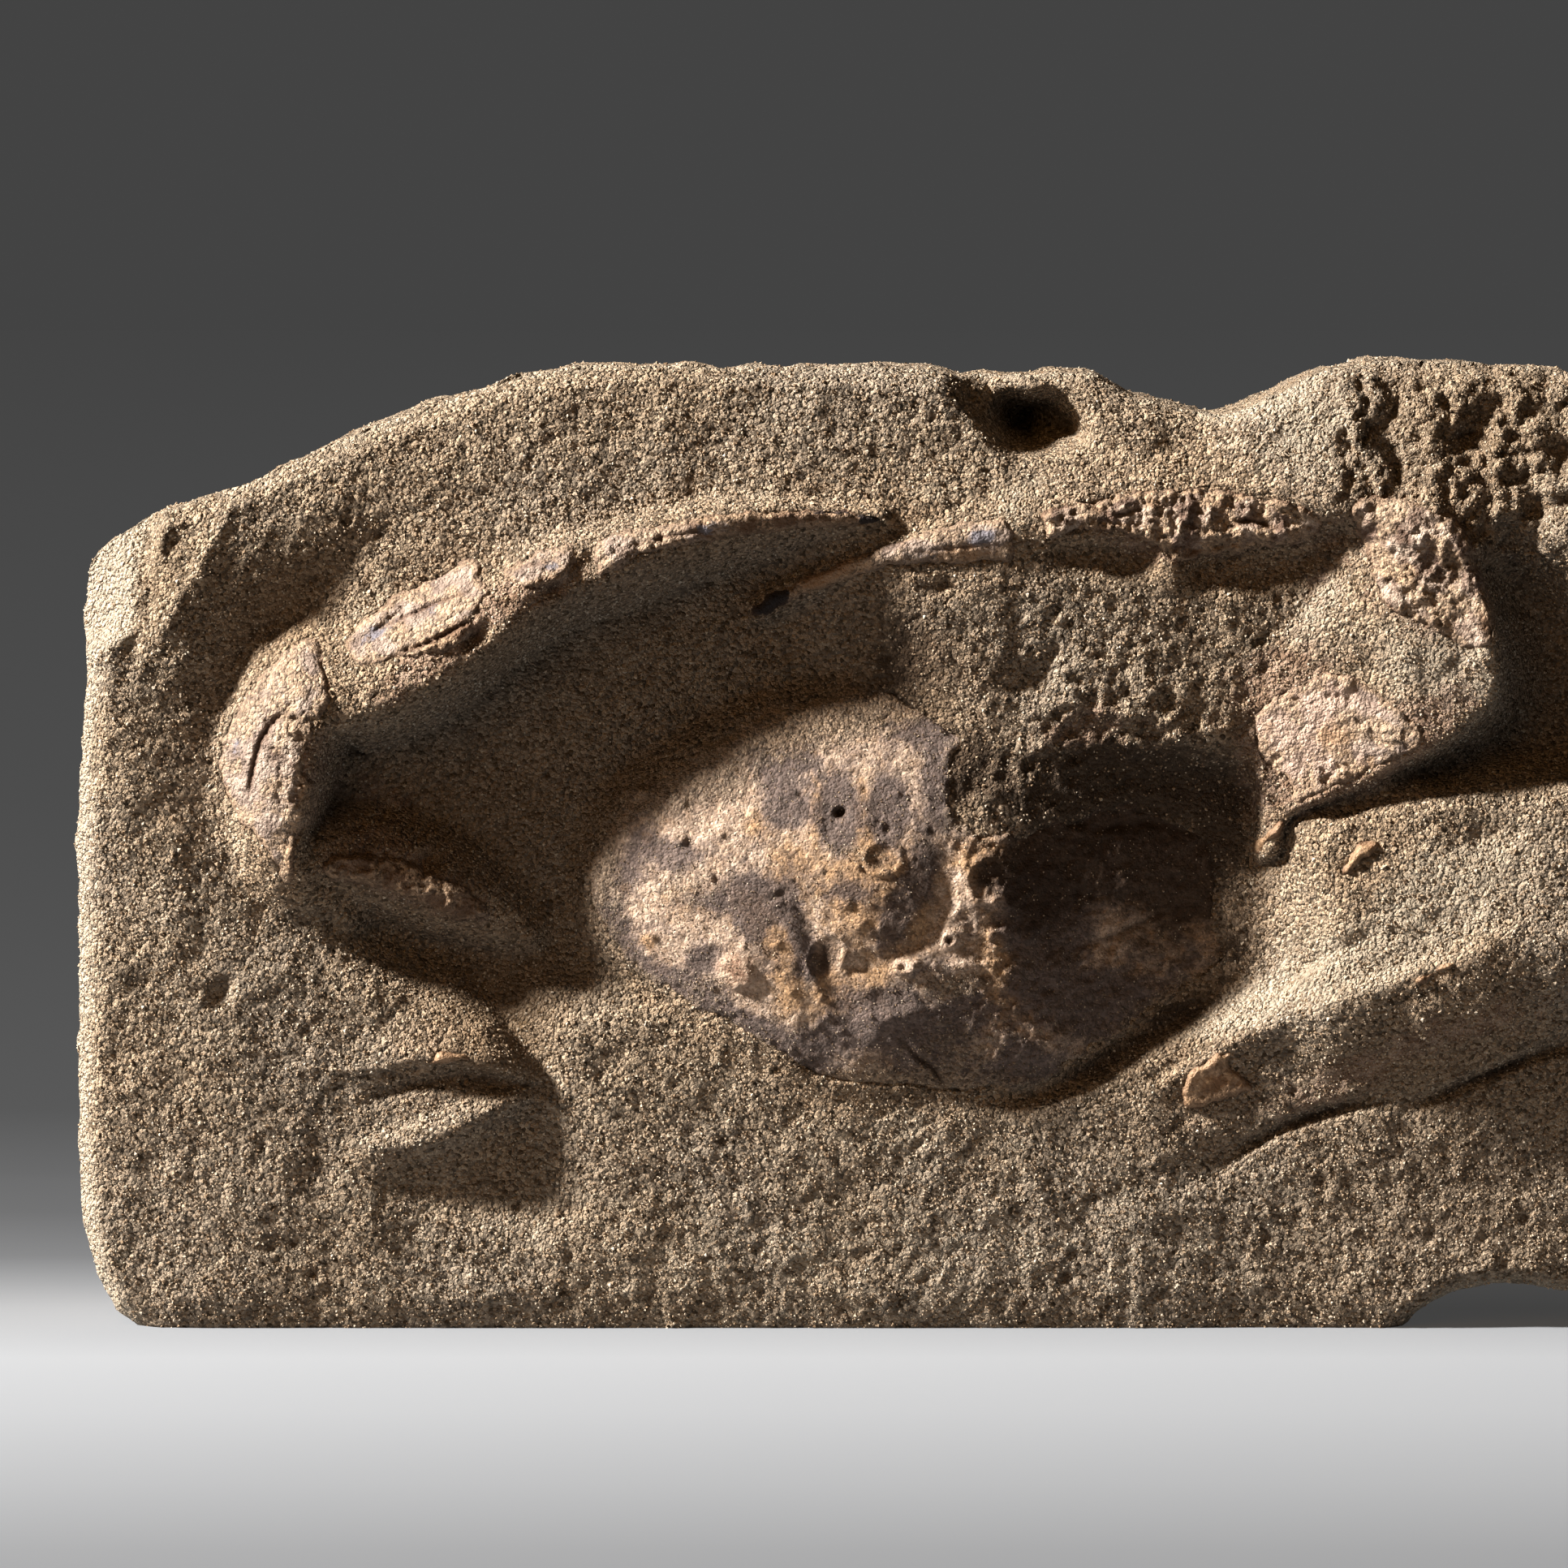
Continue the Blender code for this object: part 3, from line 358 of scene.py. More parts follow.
# %% [markdown]
# ## The stone around the crab
# The picker went deepest between the claws and the body, so wide hollows lie there, and left the
# rock standing high where it holds the legs. A long soft trough outside the left claw, a trench
# beside the right wrist and a crag at the top right are what the raking light shows first.

# %% Troughs and ridges of the stone
TROUGH_OUTSIDE_LEFT_CLAW = [
    (-46, 109, 0, 14, 8), (-56, 106, -0.3, 18, 8), (-66, 101, -1.3, 22, 8), (-76, 95, -2.5, 24, 8),
    (-83, 87, -2.4, 22, 8), (-88, 77, -1.4, 16, 8), (-89, 67, -1, 12, 8), (-84, 57, -1, 12, 8),
    (-75, 50, -1.2, 12, 8), (-66, 47, -1, 10, 8),
]
GROOVE_INSIDE_BEVEL = [
    (-95.5, 106, -0.6, 2, 3), (-96, 100, -1, 2, 3), (-96.5, 93, -1, 2.5, 3), (-98.5, 87, -0.5, 2, 4),
    (-100, 81, 0, 2, 4),
]
FAINT_CREST = [
    (-83, 110, 0.3, 4, 4), (-86, 104, 0.5, 4, 3), (-89.5, 97, 0.5, 4, 4), (-94, 90, 0.3, 4, 4),
    (-98, 85, 0, 3, 4),
]
VALLEY_UNDER_CLAW_BASE = [
    (-70, 52, -1, 6, 8), (-62, 49, -2.2, 8, 9), (-56, 43.5, -3, 10, 10), (-51.5, 37.5, -3, 10, 9),
    (-48.5, 33, -2, 9, 7), (-46.5, 29, 0, 8, 6),
]
TRENCH_BESIDE_RIGHT_WRIST = [
    (74, 105, -0.5, 3, 5), (78.5, 102, -5, 4, 7), (82.5, 96, -7.5, 9, 9), (84, 86, -7.5, 14, 8),
    (81, 78, -6, 13, 6), (73, 73.5, -4, 6, 4), (64, 69.5, -2.5, 3, 4), (56, 66.5, -1.2, 2, 4),
]
FIRST_GROOVE_UNDER_LEG = [
    (30, 18, 0, 6, 3), (36, 19, -0.5, 6, 3), (42, 21.4, -0.8, 5, 2), (46, 24, -1.6, 1.8, 1.3),
    (51, 26.6, -2.2, 1.6, 1.2), (57, 28.6, -2, 1.6, 1.2), (61.5, 29.6, -0.8, 2.4, 1.5),
    (65, 29.6, -0.1, 3, 2),
]
SECOND_GROOVE_UNDER_LEG = [
    (65, 28.6, 0, 3, 2.2), (69.5, 30.2, -1.6, 1.8, 1.3), (76, 33, -2.1, 1.7, 1.2),
    (82, 35.6, -2.1, 1.7, 1.2), (90, 38, -1.4, 5, 2), (102, 44, -0.8, 6, 3),
]
NOTCH_INTO_TOP_PIT = [(8.5, 126, -2.4, 4, 5), (12.5, 121, -4.2, 4, 5.5), (16.5, 117, -6.5, 4, 6)]
print("the trough outside the claw runs through", len(TROUGH_OUTSIDE_LEFT_CLAW), "places")

# %% Levels of the stone
BASIN_IN_LEFT_CLAW = [
    (-70, 80, 7), (-62, 83, 8), (-53, 88.5, 9), (-44, 95, 9), (-35, 98.5, 9), (-25, 102, 9), (-15, 100, 14),
    (-8, 96, 22), (-3, 89, 28), (0, 80, 30), (2, 68, 28), (-6, 50, 22), (-18, 44, 16), (-34, 44.5, 14),
    (-43, 43.5, 16), (-50, 43.5, 16), (-61, 46, 12), (-71, 52, 8), (-75, 62, 5), (-73, 74, 6),
]
BASIN_RIGHT_OF_CARAPACE = [
    (8, 70, 16), (20, 71, 15), (30, 72, 13), (38, 73, 11), (43.6, 73, 8), (46, 71, 6.5), (48, 68, 8),
    (49.5, 62, 10), (51.5, 57.5, 11), (52.5, 52, 12), (50.5, 46.6, 9), (46, 43, 7), (39.6, 40, 5),
    (32, 36.2, 5), (26, 33, 5), (20, 30.6, 5), (14, 30.5, 9), (6, 36, 14), (0, 50, 16),
]
LEDGE_BELOW_RIGHT_CLAW = [
    (-13, 95, 22), (-2, 99.5, 11), (14, 103, 8), (34, 108, 8), (58, 110, 10), (58, 96, 14), (48, 76, 8),
    (38, 76, 12), (26, 79, 14), (13, 82, 18), (-1, 88, 22),
]
HOLLOW_UNDER_LEG_FRAGMENT = [
    (-67, 19, 9), (-60, 20.8, 8), (-55, 23.6, 7), (-50, 27.4, 6), (-46, 33, 8), (-42.5, 28, 12),
    (-41.5, 21, 13), (-44, 15.5, 13), (-50, 13.5, 12), (-60, 14.5, 11),
]
WIDE_HOLLOW_UNDER_PALM = [
    (38, 97, 3), (39, 99.6, 2), (46, 100.4, 2), (53, 100.4, 2.5), (54, 98, 3), (48, 96, 4), (42, 95.6, 4),
]
NARROW_HOLLOW_UNDER_PALM = [
    (20, 99.5, 3), (22, 102, 2), (28, 101.6, 2), (32, 100.5, 2), (32, 98, 3), (26, 97.5, 4),
]
CRAG = [
    (42, 112, 12), (52, 105, 7), (62, 102, 5), (72, 100, 5), (80, 98, 6), (92, 92, 12), (108, 84, 14),
    (112, 132, 10), (54, 134, 12),
]
FRONT_LEG_MOUND = [
    (50.5, 61, 14), (54, 66, 9), (60, 68.3, 4), (66, 71, 3), (71, 70.8, 4), (77, 73, 6), (84, 73, 8),
    (94, 70, 12), (101, 60, 14), (92, 46, 20), (80, 41.5, 20), (69, 38, 18), (58, 36, 16), (52.5, 39, 16),
    (51, 46, 17), (50.5, 53, 17),
]
print("the largest hollow has", len(BASIN_IN_LEFT_CLAW), "corners")

# %% Lumps and pits of the stone
LUMPS_AND_PITS = [
    (18.6, 116.6, 5.2, 3.5, -14, -6, 2), (-87, 43.5, 1.6, 1.9, -1.6, -35), (75.5, 64, 4.2, 3.2, -1.4),
    (60, 119, 4, 3, 1, 20), (63.5, 112.5, 3.6, 1.2, -1.8, -60), (68.5, 118, 3.6, 2.8, 1),
    (74, 116, 1.3, 3.4, -3, -30), (80, 119.5, 3.6, 2.8, 1, 10), (72, 109.5, 4, 2.2, 0.8, -20),
    (81.5, 106, 1.3, 3.2, -2.4, 15), (88, 112, 4.5, 3.5, 1.4), (90, 101, 3.4, 4.2, -2, 30),
    (97, 96, 4, 5, 1.6), (84.5, 113, 1.6, 2.4, -1.8), (93, 79, 6, 4, -2.6, -20), (98, 44, 4, 8, 1.8, 10),
    (92, 24, 6, 4, -1.8, 25), (-53.4, 90, 2.2, 1.2, -2.2, 40), (-44, 95.6, 3.2, 0.9, -1.6, 28),
    (-39.5, 99.3, 2.4, 1.8, -1.5, 20), (-51, 98.4, 1.6, 1.1, -1.6, 20), (-65, 91.6, 3, 0.6, -0.8, 38),
    (-75.3, 61, 2.8, 3.4, 1.1, 0, 4), (-60, 60.5, 1.6, 1.4, -1.8), (14.4, 119.4, 1.9, 1.5, -3.5, 40),
    (23, 115.2, 1.7, 1.3, -4), (20.6, 120.2, 2.2, 1.1, -2.5, -12), (-71, 75, 1.5, 4, -1.4, -50),
    (6, 96, 1.4, 1, -1.2),
]
print(len(LUMPS_AND_PITS), "lumps and pits")

# %% [markdown]
# ## The claws and legs
# The left claw bends over the body like an arm round a table, and the right one reaches across
# from the other side until the fingertips nearly cross. They are buried tubes, steep below where
# the picker undercut them and gentle above. The right wrist is a broad bulge with a flat top.

# %% Forms of the limbs
LEFT_CLAW = [
    (-71.5, 53.5, -2.5, 7, 6), (-75.6, 57, 1.6, 9, 4), (-77.6, 62, 3.9, 11, 3.5),
    (-76.8, 67, 4.9, 12.5, 3.5), (-75.4, 73, 5.6, 14, 3.5), (-73.8, 79, 5.9, 13.5, 5),
    (-69.3, 80.6, 5.4, 13, 6), (-63, 82.6, 6.1, 13, 5.5), (-56, 87, 6.7, 11.5, 5),
    (-50, 91.6, 6.5, 10.5, 5), (-43.3, 96.2, 5.9, 8.5, 5.5), (-35, 99.6, 5, 7, 6.5),
    (-28, 102.4, 4.4, 6, 6.5), (-22, 104.6, 3.9, 4.5, 7), (-12, 105.2, 2.7, 3.4, 6.5),
    (-2, 104.8, 1, 3.2, 5),
]
LEFT_ARM = [
    (-75, 61, 0.9, 8), (-69, 60.4, 1.2, 8), (-63, 59, 1, 8), (-58, 56.8, 0.4, 8), (-53, 54, -1.2, 7),
    (-48, 51, -3.8, 6),
]
RIGHT_FINGER_AND_PALM = [
    (-17.5, 92.8, -3.2, 3, 4), (-12, 96, -1.6, 4, 5), (-5, 98.8, 0.2, 4.5, 6), (3, 101, 1.8, 5, 6.5),
    (12, 102.4, 2.1, 9, 9), (22, 103.4, 2.3, 13, 6), (32, 103, 2.5, 14, 5), (42, 102.6, 2.6, 14, 3),
    (51, 102.8, 2.7, 13, 3), (57, 104, 3.2, 8, 4),
]
RIGHT_WRIST_AND_ARM = [
    (46.5, 60, 5), (46.2, 66, 3.5), (45.7, 73, 4), (46, 79, 8), (50, 87, 11), (54.5, 95, 8), (56.8, 103, 5),
    (61, 107.8, 5), (68.5, 107.3, 4.5), (73.5, 102, 5), (76.5, 95, 5), (78.5, 87, 5), (77.5, 80.5, 5.5),
    (71, 75.3, 5), (64, 72, 4.5), (56.5, 68.3, 3.5), (51, 65.5, 3), (50, 61, 4),
]
REAR_LEG = [
    (24, 22.5, -6, 7, 22), (31, 28.8, -2.8, 7, 27), (37, 33.2, -0.6, 7.5, 30), (43, 37.2, 0.8, 7, 32),
    (50, 40.4, 1.6, 7, 33), (58, 43.7, 2.1, 8, 34), (67, 46.9, 2.5, 10, 36), (76, 50.2, 2.7, 13, 38),
    (88, 55, 2.4, 16, 39), (104, 61, 1, 16, 39),
]
LEFT_LEG_LOWER_RIDGE = [
    (-75, 23, -3, 12, 7), (-67.5, 23.8, -0.8, 11, 7), (-61, 24.8, 0.3, 10, 6.5), (-56, 26.8, 0.7, 8.5, 6),
    (-52, 28.8, 0.6, 6.5, 5.5), (-48.5, 30, -0.4, 4.5, 5), (-46, 30, -2.6, 3.5, 4.5),
]
LEFT_LEG_UPPER_RIDGE = [
    (-77, 33, -2, 16, 4), (-69, 33.8, 0, 15, 3.4), (-61.5, 35.3, 1.5, 13, 3), (-55, 35, 1.6, 10, 2.8),
    (-50.5, 33.8, 0.6, 7, 2.6), (-46.5, 32, -1.4, 4, 2.4),
]
SLIT_IN_LEFT_LEG = [
    (-70, 29.2, 0, 2, 2), (-65.5, 30.8, -0.9, 1.5, 1.6), (-60, 32.1, -1.4, 1.3, 1.6),
    (-55, 32.4, -1.2, 1.3, 1.6), (-50, 31.3, -0.3, 1.2, 1.4),
]
print("the left claw bends through", len(LEFT_CLAW), "places")

# %% [markdown]
# ## The body
# The body shell is a low dome. Its left half still has the curve that it had in life, and its
# right half sank as the sand settled. A Y of grooves marks where the muscles were fixed inside.

# %% Forms of the body
DOME = [
    (-41.5, 55), (-40.5, 62), (-37.5, 68.5), (-31, 73.5), (-22, 79.5), (-12, 83), (0, 86.5), (12, 89.5),
    (26, 88), (38, 85), (46, 78), (48.5, 70), (51, 60), (51.5, 52), (46, 43.5), (35, 38), (26, 32.6),
    (14, 29.5), (0, 29), (-10, 30.2), (-20, 35), (-31, 41.5), (-38.5, 48),
]
DOME_CROWN = (-2.0, 58.0)
DOME_HEIGHT = 4.6
LOWER_RIGHT_OF_DOME = [
    (15, 60, 8), (16, 64.2, 3), (22, 66, 2.6), (32, 68, 2.6), (38, 66, 2.6), (46, 62.5, 3), (58, 56, 6),
    (50, 36, 8), (34, 24, 8), (26, 30, 14), (22, 44, 14),
]
RIGHT_SHELL_GROOVE = [
    (10, 72, 0, 3, 3), (8.5, 66, -0.2, 2.5, 3), (7, 60, -0.4, 2.5, 3), (6, 55.5, -0.7, 2.5, 2.6),
    (4.5, 51.5, -0.7, 2.2, 2.6), (0, 48.8, -0.4, 2.2, 2.2), (-6, 47, -0.4, 2, 2),
]
LEFT_SHELL_GROOVE = [
    (-14, 55.5, -0.2, 2), (-11.5, 52, -0.4, 2), (-9.5, 48.5, -0.6, 2.4), (-8, 44, -0.5, 2.2),
    (-5, 40, -0.3, 2.5),
]
SHELL_SWELLS = [
    (12.5, 57, 5, 7.5, 0.8, -15), (-3.5, 57.5, 5.5, 7, 0.6), (-28, 58, 8, 9, 0.6), (0, 41, 6, 4, 0.8),
    (-18, 50, 5, 4, 0.5, -40), (-4, 67, 1.5, 4, 0.25), (-10.5, 67, 1.2, 4, 0.25), (13, 47, 1.6, 5, 0.5, 10),
    (-13.5, 44, 1.5, 5, 0.4, 10), (28, 58, 9, 5, 0.5, 20), (17, 37, 5, 3, 0.5, 20),
]
print("the dome stands", DOME_HEIGHT, "mm high at", DOME_CROWN)

# %% [markdown]
# ## All the stone in one height
# The forms join in the order in which they lie: first the slopes of the whole face, then the
# hollows, then the limbs on top. `higher` takes the greater of two heights and rounds the corner
# between them, which is how a limb grows out of the stone instead of standing on it.

# %% The height of the stone, of the worn rim and of the body
def stone_face(x, z):
    """The carved stone without the body shell."""
    # The whole face falls back towards the top, the foot, the lower left and the lower right.
    h = -5.0 * np.clip((z - 100) / 26, 0, 1.2) ** 1.4 * ease((x + 110) / 30)
    h -= 4.0 * np.clip((44 - z) / 44, 0, 1.2) ** 1.5
    h -= 1.2 * np.clip((-80 - x) / 25, 0, 1.2) ** 2 * ease((90 - z) / 20)
    h -= 2.5 * ease((x - 20) / 60) * ease((40 - z) / 30)
    h += ridge(x, z, TROUGH_OUTSIDE_LEFT_CLAW, 1.2)
    for rows in (GROOVE_INSIDE_BEVEL, FAINT_CREST, VALLEY_UNDER_CLAW_BASE, TRENCH_BESIDE_RIGHT_WRIST):
        h += ridge(x, z, rows)
    for rows, rise in (
        (BASIN_IN_LEFT_CLAW, -7.0), (BASIN_RIGHT_OF_CARAPACE, -5.8), (LEDGE_BELOW_RIGHT_CLAW, 1.4),
        (HOLLOW_UNDER_LEG_FRAGMENT, -1.6), (WIDE_HOLLOW_UNDER_PALM, -1.4), (NARROW_HOLLOW_UNDER_PALM, -1.3),
        (CRAG, 5.0), (FRONT_LEG_MOUND, 3.0),
    ):
        h += level(x, z, rows, rise)
    # The limbs grow out of it: first the claws and the flat-topped wrist, then the legs.
    for rows, rounding in ((LEFT_CLAW, 1.3), (LEFT_ARM, 2), (RIGHT_FINGER_AND_PALM, 1.0)):
        h = higher(h, tube(x, z, rows), rounding)
    wrist = level(x, z, RIGHT_WRIST_AND_ARM, 12.5) - 5.6 - 3.2 * (np.clip(x - 60, 0, None) / 17) ** 2
    wrist -= 1.2 * (np.clip(60 - x, 0, None) / 12) ** 2 + 3.2 * ((z - 90) / 28) ** 2
    h = higher(h, wrist, 1.2)
    h = higher(h, tube(x, z, REAR_LEG, 1.55), 1.4)
    h += ridge(x, z, FIRST_GROOVE_UNDER_LEG) + ridge(x, z, SECOND_GROOVE_UNDER_LEG)
    h = higher(h, tube(x, z, LEFT_LEG_LOWER_RIDGE, 1.7), 0.7)
    h = higher(h, tube(x, z, LEFT_LEG_UPPER_RIDGE), 0.7)
    h += ridge(x, z, SLIT_IN_LEFT_LEG) + ridge(x, z, NOTCH_INTO_TOP_PIT)
    return h + lumps(x, z, LUMPS_AND_PITS)


def worn_edge(x, z):
    """How far the face drops back along its rim, most of all at the bevelled top left corner."""
    bevel = ease((z - 87) / 5) * ease((-93 - x) / 4)
    left = 0.4 * ease((z - 8) / 50) * ease((-92 - x) / 6)
    share = 1 - from_rim(x, z) / (2.4 + 4.4 * bevel + 2.2 * left)
    worn = np.clip(share, 0, 1) ** (1.4 - 0.5 * bevel)
    return (2.6 + 3.8 * bevel + 1.6 * left) * worn + 0.9 * np.clip(1 - z / 5, 0, 1) ** 1.5


def body_dome(x, z):
    """The domed body, with its low lower right part and its grooves."""
    away, _ = depth_inside(smooth_loop(DOME), x, z, 6)
    # From its crown the dome falls to the left, to the right, above, below and along its edge.
    u = x - DOME_CROWN[0]
    v = z - DOME_CROWN[1]
    h = DOME_HEIGHT - 8.6 * (np.clip(-u, 0, None) / 40) ** 2
    beyond = np.clip(u - 8 * ease((56 - z) / 18), 0, None)
    h -= 13.5 * (np.sqrt((beyond / 52) ** 2 + 0.04) - 0.2)
    h -= 8.5 * (np.clip(v, 0, None) / 25) ** 1.7 * (1 - 0.55 * ease(u / 25))
    h -= 6.5 * (np.clip(-v, 0, None) / 33) ** 2
    h -= 2.0 * np.exp(-np.clip(away, -3, None) / 1.6)
    h += level(x, z, LOWER_RIGHT_OF_DOME, -1.6)
    h += ridge(x, z, RIGHT_SHELL_GROOVE, 2.0)
    h += ridge(x, z, LEFT_SHELL_GROOVE, 2.0)
    h += lumps(x, z, SHELL_SWELLS)
    return np.where(away > -2.5, h, NOWHERE)


crown = np.array(DOME_CROWN)[:, None]
print("at the crown: stone", stone_face(*crown).round(1), "and dome", body_dome(*crown).round(1))

# %% [markdown]
# ## Where the shell lies
# Shell is left only in patches. Each patch has an outline of its own, and these outlines do three
# jobs: the stone is sunk a little under them, the shell pieces are cut to them, and the stain that
# seeps from shell into sandstone is painted round them.

# %% Outlines of the pieces of shell
OUTLINES = {
    "body_shell": [
        (-41, 56), (-39.8, 62), (-37, 68), (-32, 72.3), (-27, 75), (-22, 78.6), (-17, 81), (-9, 82.3),
        (-2, 83.8), (4, 86.3), (9, 87.6), (12.5, 85), (12.5, 80), (9.5, 75), (8, 70), (9.5, 66.4),
        (14, 65.3), (20, 66.5), (28, 68.8), (33, 68), (38, 66), (42.6, 63.4), (45.2, 60.2), (47.2, 56.5),
        (47.6, 52), (44.6, 47), (38, 42.4), (31.5, 38.6), (25, 34.6), (20, 31.4), (14, 29.9), (8, 29.2),
        (2, 29.8), (-6, 30.4), (-12, 31.5), (-15, 34.3), (-18.5, 36.7), (-22, 38.3), (-28, 41.7),
        (-33.5, 45.2), (-38.2, 50),
    ],
    "left_wrist": [
        (-75, 90), (-78, 88.2), (-82, 84.5), (-85.5, 79), (-87.3, 74), (-86.7, 70), (-85, 66.5),
        (-82, 63.5), (-79.8, 60), (-78.5, 57.2), (-76.6, 58.6), (-76.8, 61.5), (-76, 64.3), (-73.8, 66),
        (-73.5, 68.5), (-74.2, 70.8), (-75.6, 73), (-75, 75.8), (-73.8, 78.6), (-72.2, 81.5), (-72.4, 84.5),
        (-73.2, 87.4),
    ],
    "left_palm": [
        (-70.6, 88.4), (-69, 91.4), (-66, 93.8), (-62, 95.9), (-58, 98), (-54.5, 99.6), (-52.8, 99.2),
        (-53, 97), (-51.6, 95.4), (-53.4, 92.8), (-54, 90.2), (-56, 88.2), (-60, 87.4), (-65, 86.3),
        (-69, 85.6),
    ],
    "left_palm_end": [
        (-50.4, 97.6), (-48.4, 99.6), (-44, 101.4), (-41.2, 101.9), (-40.4, 100), (-41.4, 98), (-43, 96.6),
        (-46, 95.8), (-49, 96.2),
    ],
    "left_finger": [
        (-38.2, 102.3), (-34, 103.5), (-29, 104.6), (-24, 105.4), (-18, 105.9), (-12, 106), (-6, 105.7),
        (-1.6, 104.9), (-1.8, 103.8), (-5, 103.3), (-10, 103.2), (-16, 102.7), (-22, 101.8), (-27, 101),
        (-32, 99.8), (-36, 97.9), (-37.8, 97.2), (-38.6, 99),
    ],
    "left_arm": [
        (-73, 61.2), (-68, 61.7), (-63, 61.2), (-58.5, 59), (-54, 56.4), (-52.4, 53.6), (-55, 52.6),
        (-60, 54), (-65, 56.2), (-70, 57.8), (-73.6, 58.4),
    ],
    "right_finger": [
        (-18.6, 92), (-17.2, 94.4), (-14, 96.2), (-10, 98.1), (-5, 100.3), (0, 102.1), (5, 103.7),
        (10, 104.7), (14, 104.9), (15.4, 102.4), (14.5, 99.2), (9, 98.6), (3, 98.6), (-2, 97.8), (-8, 95.7),
        (-13, 93.9), (-16, 92),
    ],
    "right_palm": [
        (18.8, 105.6), (24, 107.2), (30, 108.2), (38, 108.6), (46, 107.8), (52, 106.3), (54.4, 104.5),
        (53.6, 102.3), (50, 101), (45, 100.2), (40, 99.6), (36.5, 98.8), (34.6, 99.3), (33, 101),
        (29, 102.6), (24, 102.6), (19.5, 101.8), (18.6, 103.8),
    ],
    "right_wrist": [
        (58, 106.4), (61, 107.9), (66, 107.4), (70.5, 105.4), (73, 102), (75.2, 97.5), (76.5, 93),
        (75.5, 88.5), (72.5, 88), (69, 90), (66.5, 91.5), (62, 94), (60.5, 97), (60, 100), (58.4, 102.6),
    ],
    "right_arm": [
        (46.4, 74), (45.6, 77), (46, 80), (49, 82.5), (54, 84.8), (58, 85), (62, 82.5), (66, 79.5),
        (67.6, 76.6), (65, 74.3), (60, 71.9), (56, 70), (53, 68.3), (50.6, 68), (50, 71), (48, 72),
    ],
    "right_base_flake": [
        (45.9, 62.2), (47, 64), (49.3, 65.8), (50.1, 65.1), (48.9, 63.3), (47.5, 61.8), (46.6, 60.8),
    ],
    "front_leg_flake": [
        (57.1, 59.5), (58, 62), (60.1, 63.6), (61.7, 63.2), (61.5, 61.8), (59.8, 60.7), (58.2, 59.1),
    ],
    "rear_leg_shell": [
        (36.6, 30.2), (37.2, 32.6), (39, 34.6), (41.5, 36.1), (43.4, 36.2), (43.1, 34.6), (44.8, 33),
        (46.2, 31.4), (43, 29.7), (40, 28.7), (37.7, 28.5),
    ],
    "rear_leg_sliver": [
        (66, 45.8), (68.4, 47.4), (71.5, 48.9), (74.3, 49.8), (75, 49), (71.9, 47.9), (69, 46.3),
        (67, 45.2),
    ],
    "left_leg_flake": [(-60.2, 34.4), (-58.9, 36.5), (-57.5, 36.4), (-55, 36), (-54.7, 34.9), (-57, 34.3)],
}
print(len(OUTLINES), "patches of shell")

# %% [markdown]
# ## Crumbs, pits and the crag
# Sandstone breaks round its grains, so even a worked face is lumpy. Soft swells a centimetre wide
# come from the picking, crumbs of a few millimetres from the breaking, and here and there a lost
# pebble leaves a hole. The crag at the top right was never dressed: deep crannies run between its
# knobs, which cell noise makes well.

# %% Small shapes of the stone
ROUGH_ZONES = [
    (-89, 96, 10, 10, 1.5, -40), (-25, 115, 55, 8, 1, 3), (25, 89, 30, 10, 1.7), (30, 76, 14, 10, 1.4),
    (66, 96, 12, 12, 0.5), (-72, 42, 14, 8, 0.6), (17.6, 117.5, 9, 7, 1.5), (-76, 74, 5, 9, 0.8),
    (85, 96, 8, 12, 1.2), (50, 102, 8, 5, 0.6), (-62, 58, 14, 7, 2.4, -15), (-70, 69, 9, 11, 1.8),
    (-59, 66, 8, 6, 1), (30, 116, 22, 7, 1.2), (-57, 88.5, 15, 3, 1.6, 34), (0, 9, 100, 14, 0.7),
    (72, 58, 18, 9, 0.9, 20), (-4, 91, 8, 11, 1.7, 20),
]
CRUST_ON_BODY = [(25, 77, 17, 10, 1, -5, 2), (12, 72, 6, 8, 0.8), (31, 72, 11, 7, 0.8)]
SCABBY_CRUST = [(24, 71, 17, 5, 1.2, 3, 2)]
HOLES_IN_CRUST = [
    (17.5, 84.5, 3, 2.4, -1.3, 20), (20, 87.5, 1.6, 1.4, -0.8), (11, 71, 3.4, 2, -0.8, 20),
    (24.7, 78, 3.6, 1.6, -0.4, 8, 2), (43, 71, 2, 4, -0.5),
]
SCARS_IN_CRUST = [(24.7, 78, 4.1, 2.1, 0.6, 0.35, 8), (9.6, 85, 1.9, 1.9, 0.3, 0.3)]
SIDE_OF_TOP_PIT = [(10.6, 120.6, 2.6, 5.2, 1, 38, 2), (15, 116.4, 3, 2.4, 0.8)]


def pocks(x, z, apart, radius, seed):
    """Small round losses, one in each cell of a loose grid, present in some areas only."""
    hole = np.clip(1 - knobs(x, z, apart, seed) * apart / radius, 0, 1)
    return hole * ease(0.1 + 1.5 * hills(in_plane(x, z), 2.5 * apart, seed + 1))


def crannies(places, wavelength, sharpness, apart, seed):
    """1 along wandering lines, and 0 between them."""
    line = np.clip(1 - sharpness * np.abs(hills(places, wavelength, seed)), 0, 1)
    return line * ease(0.5 + hills(places, apart, seed + 3))


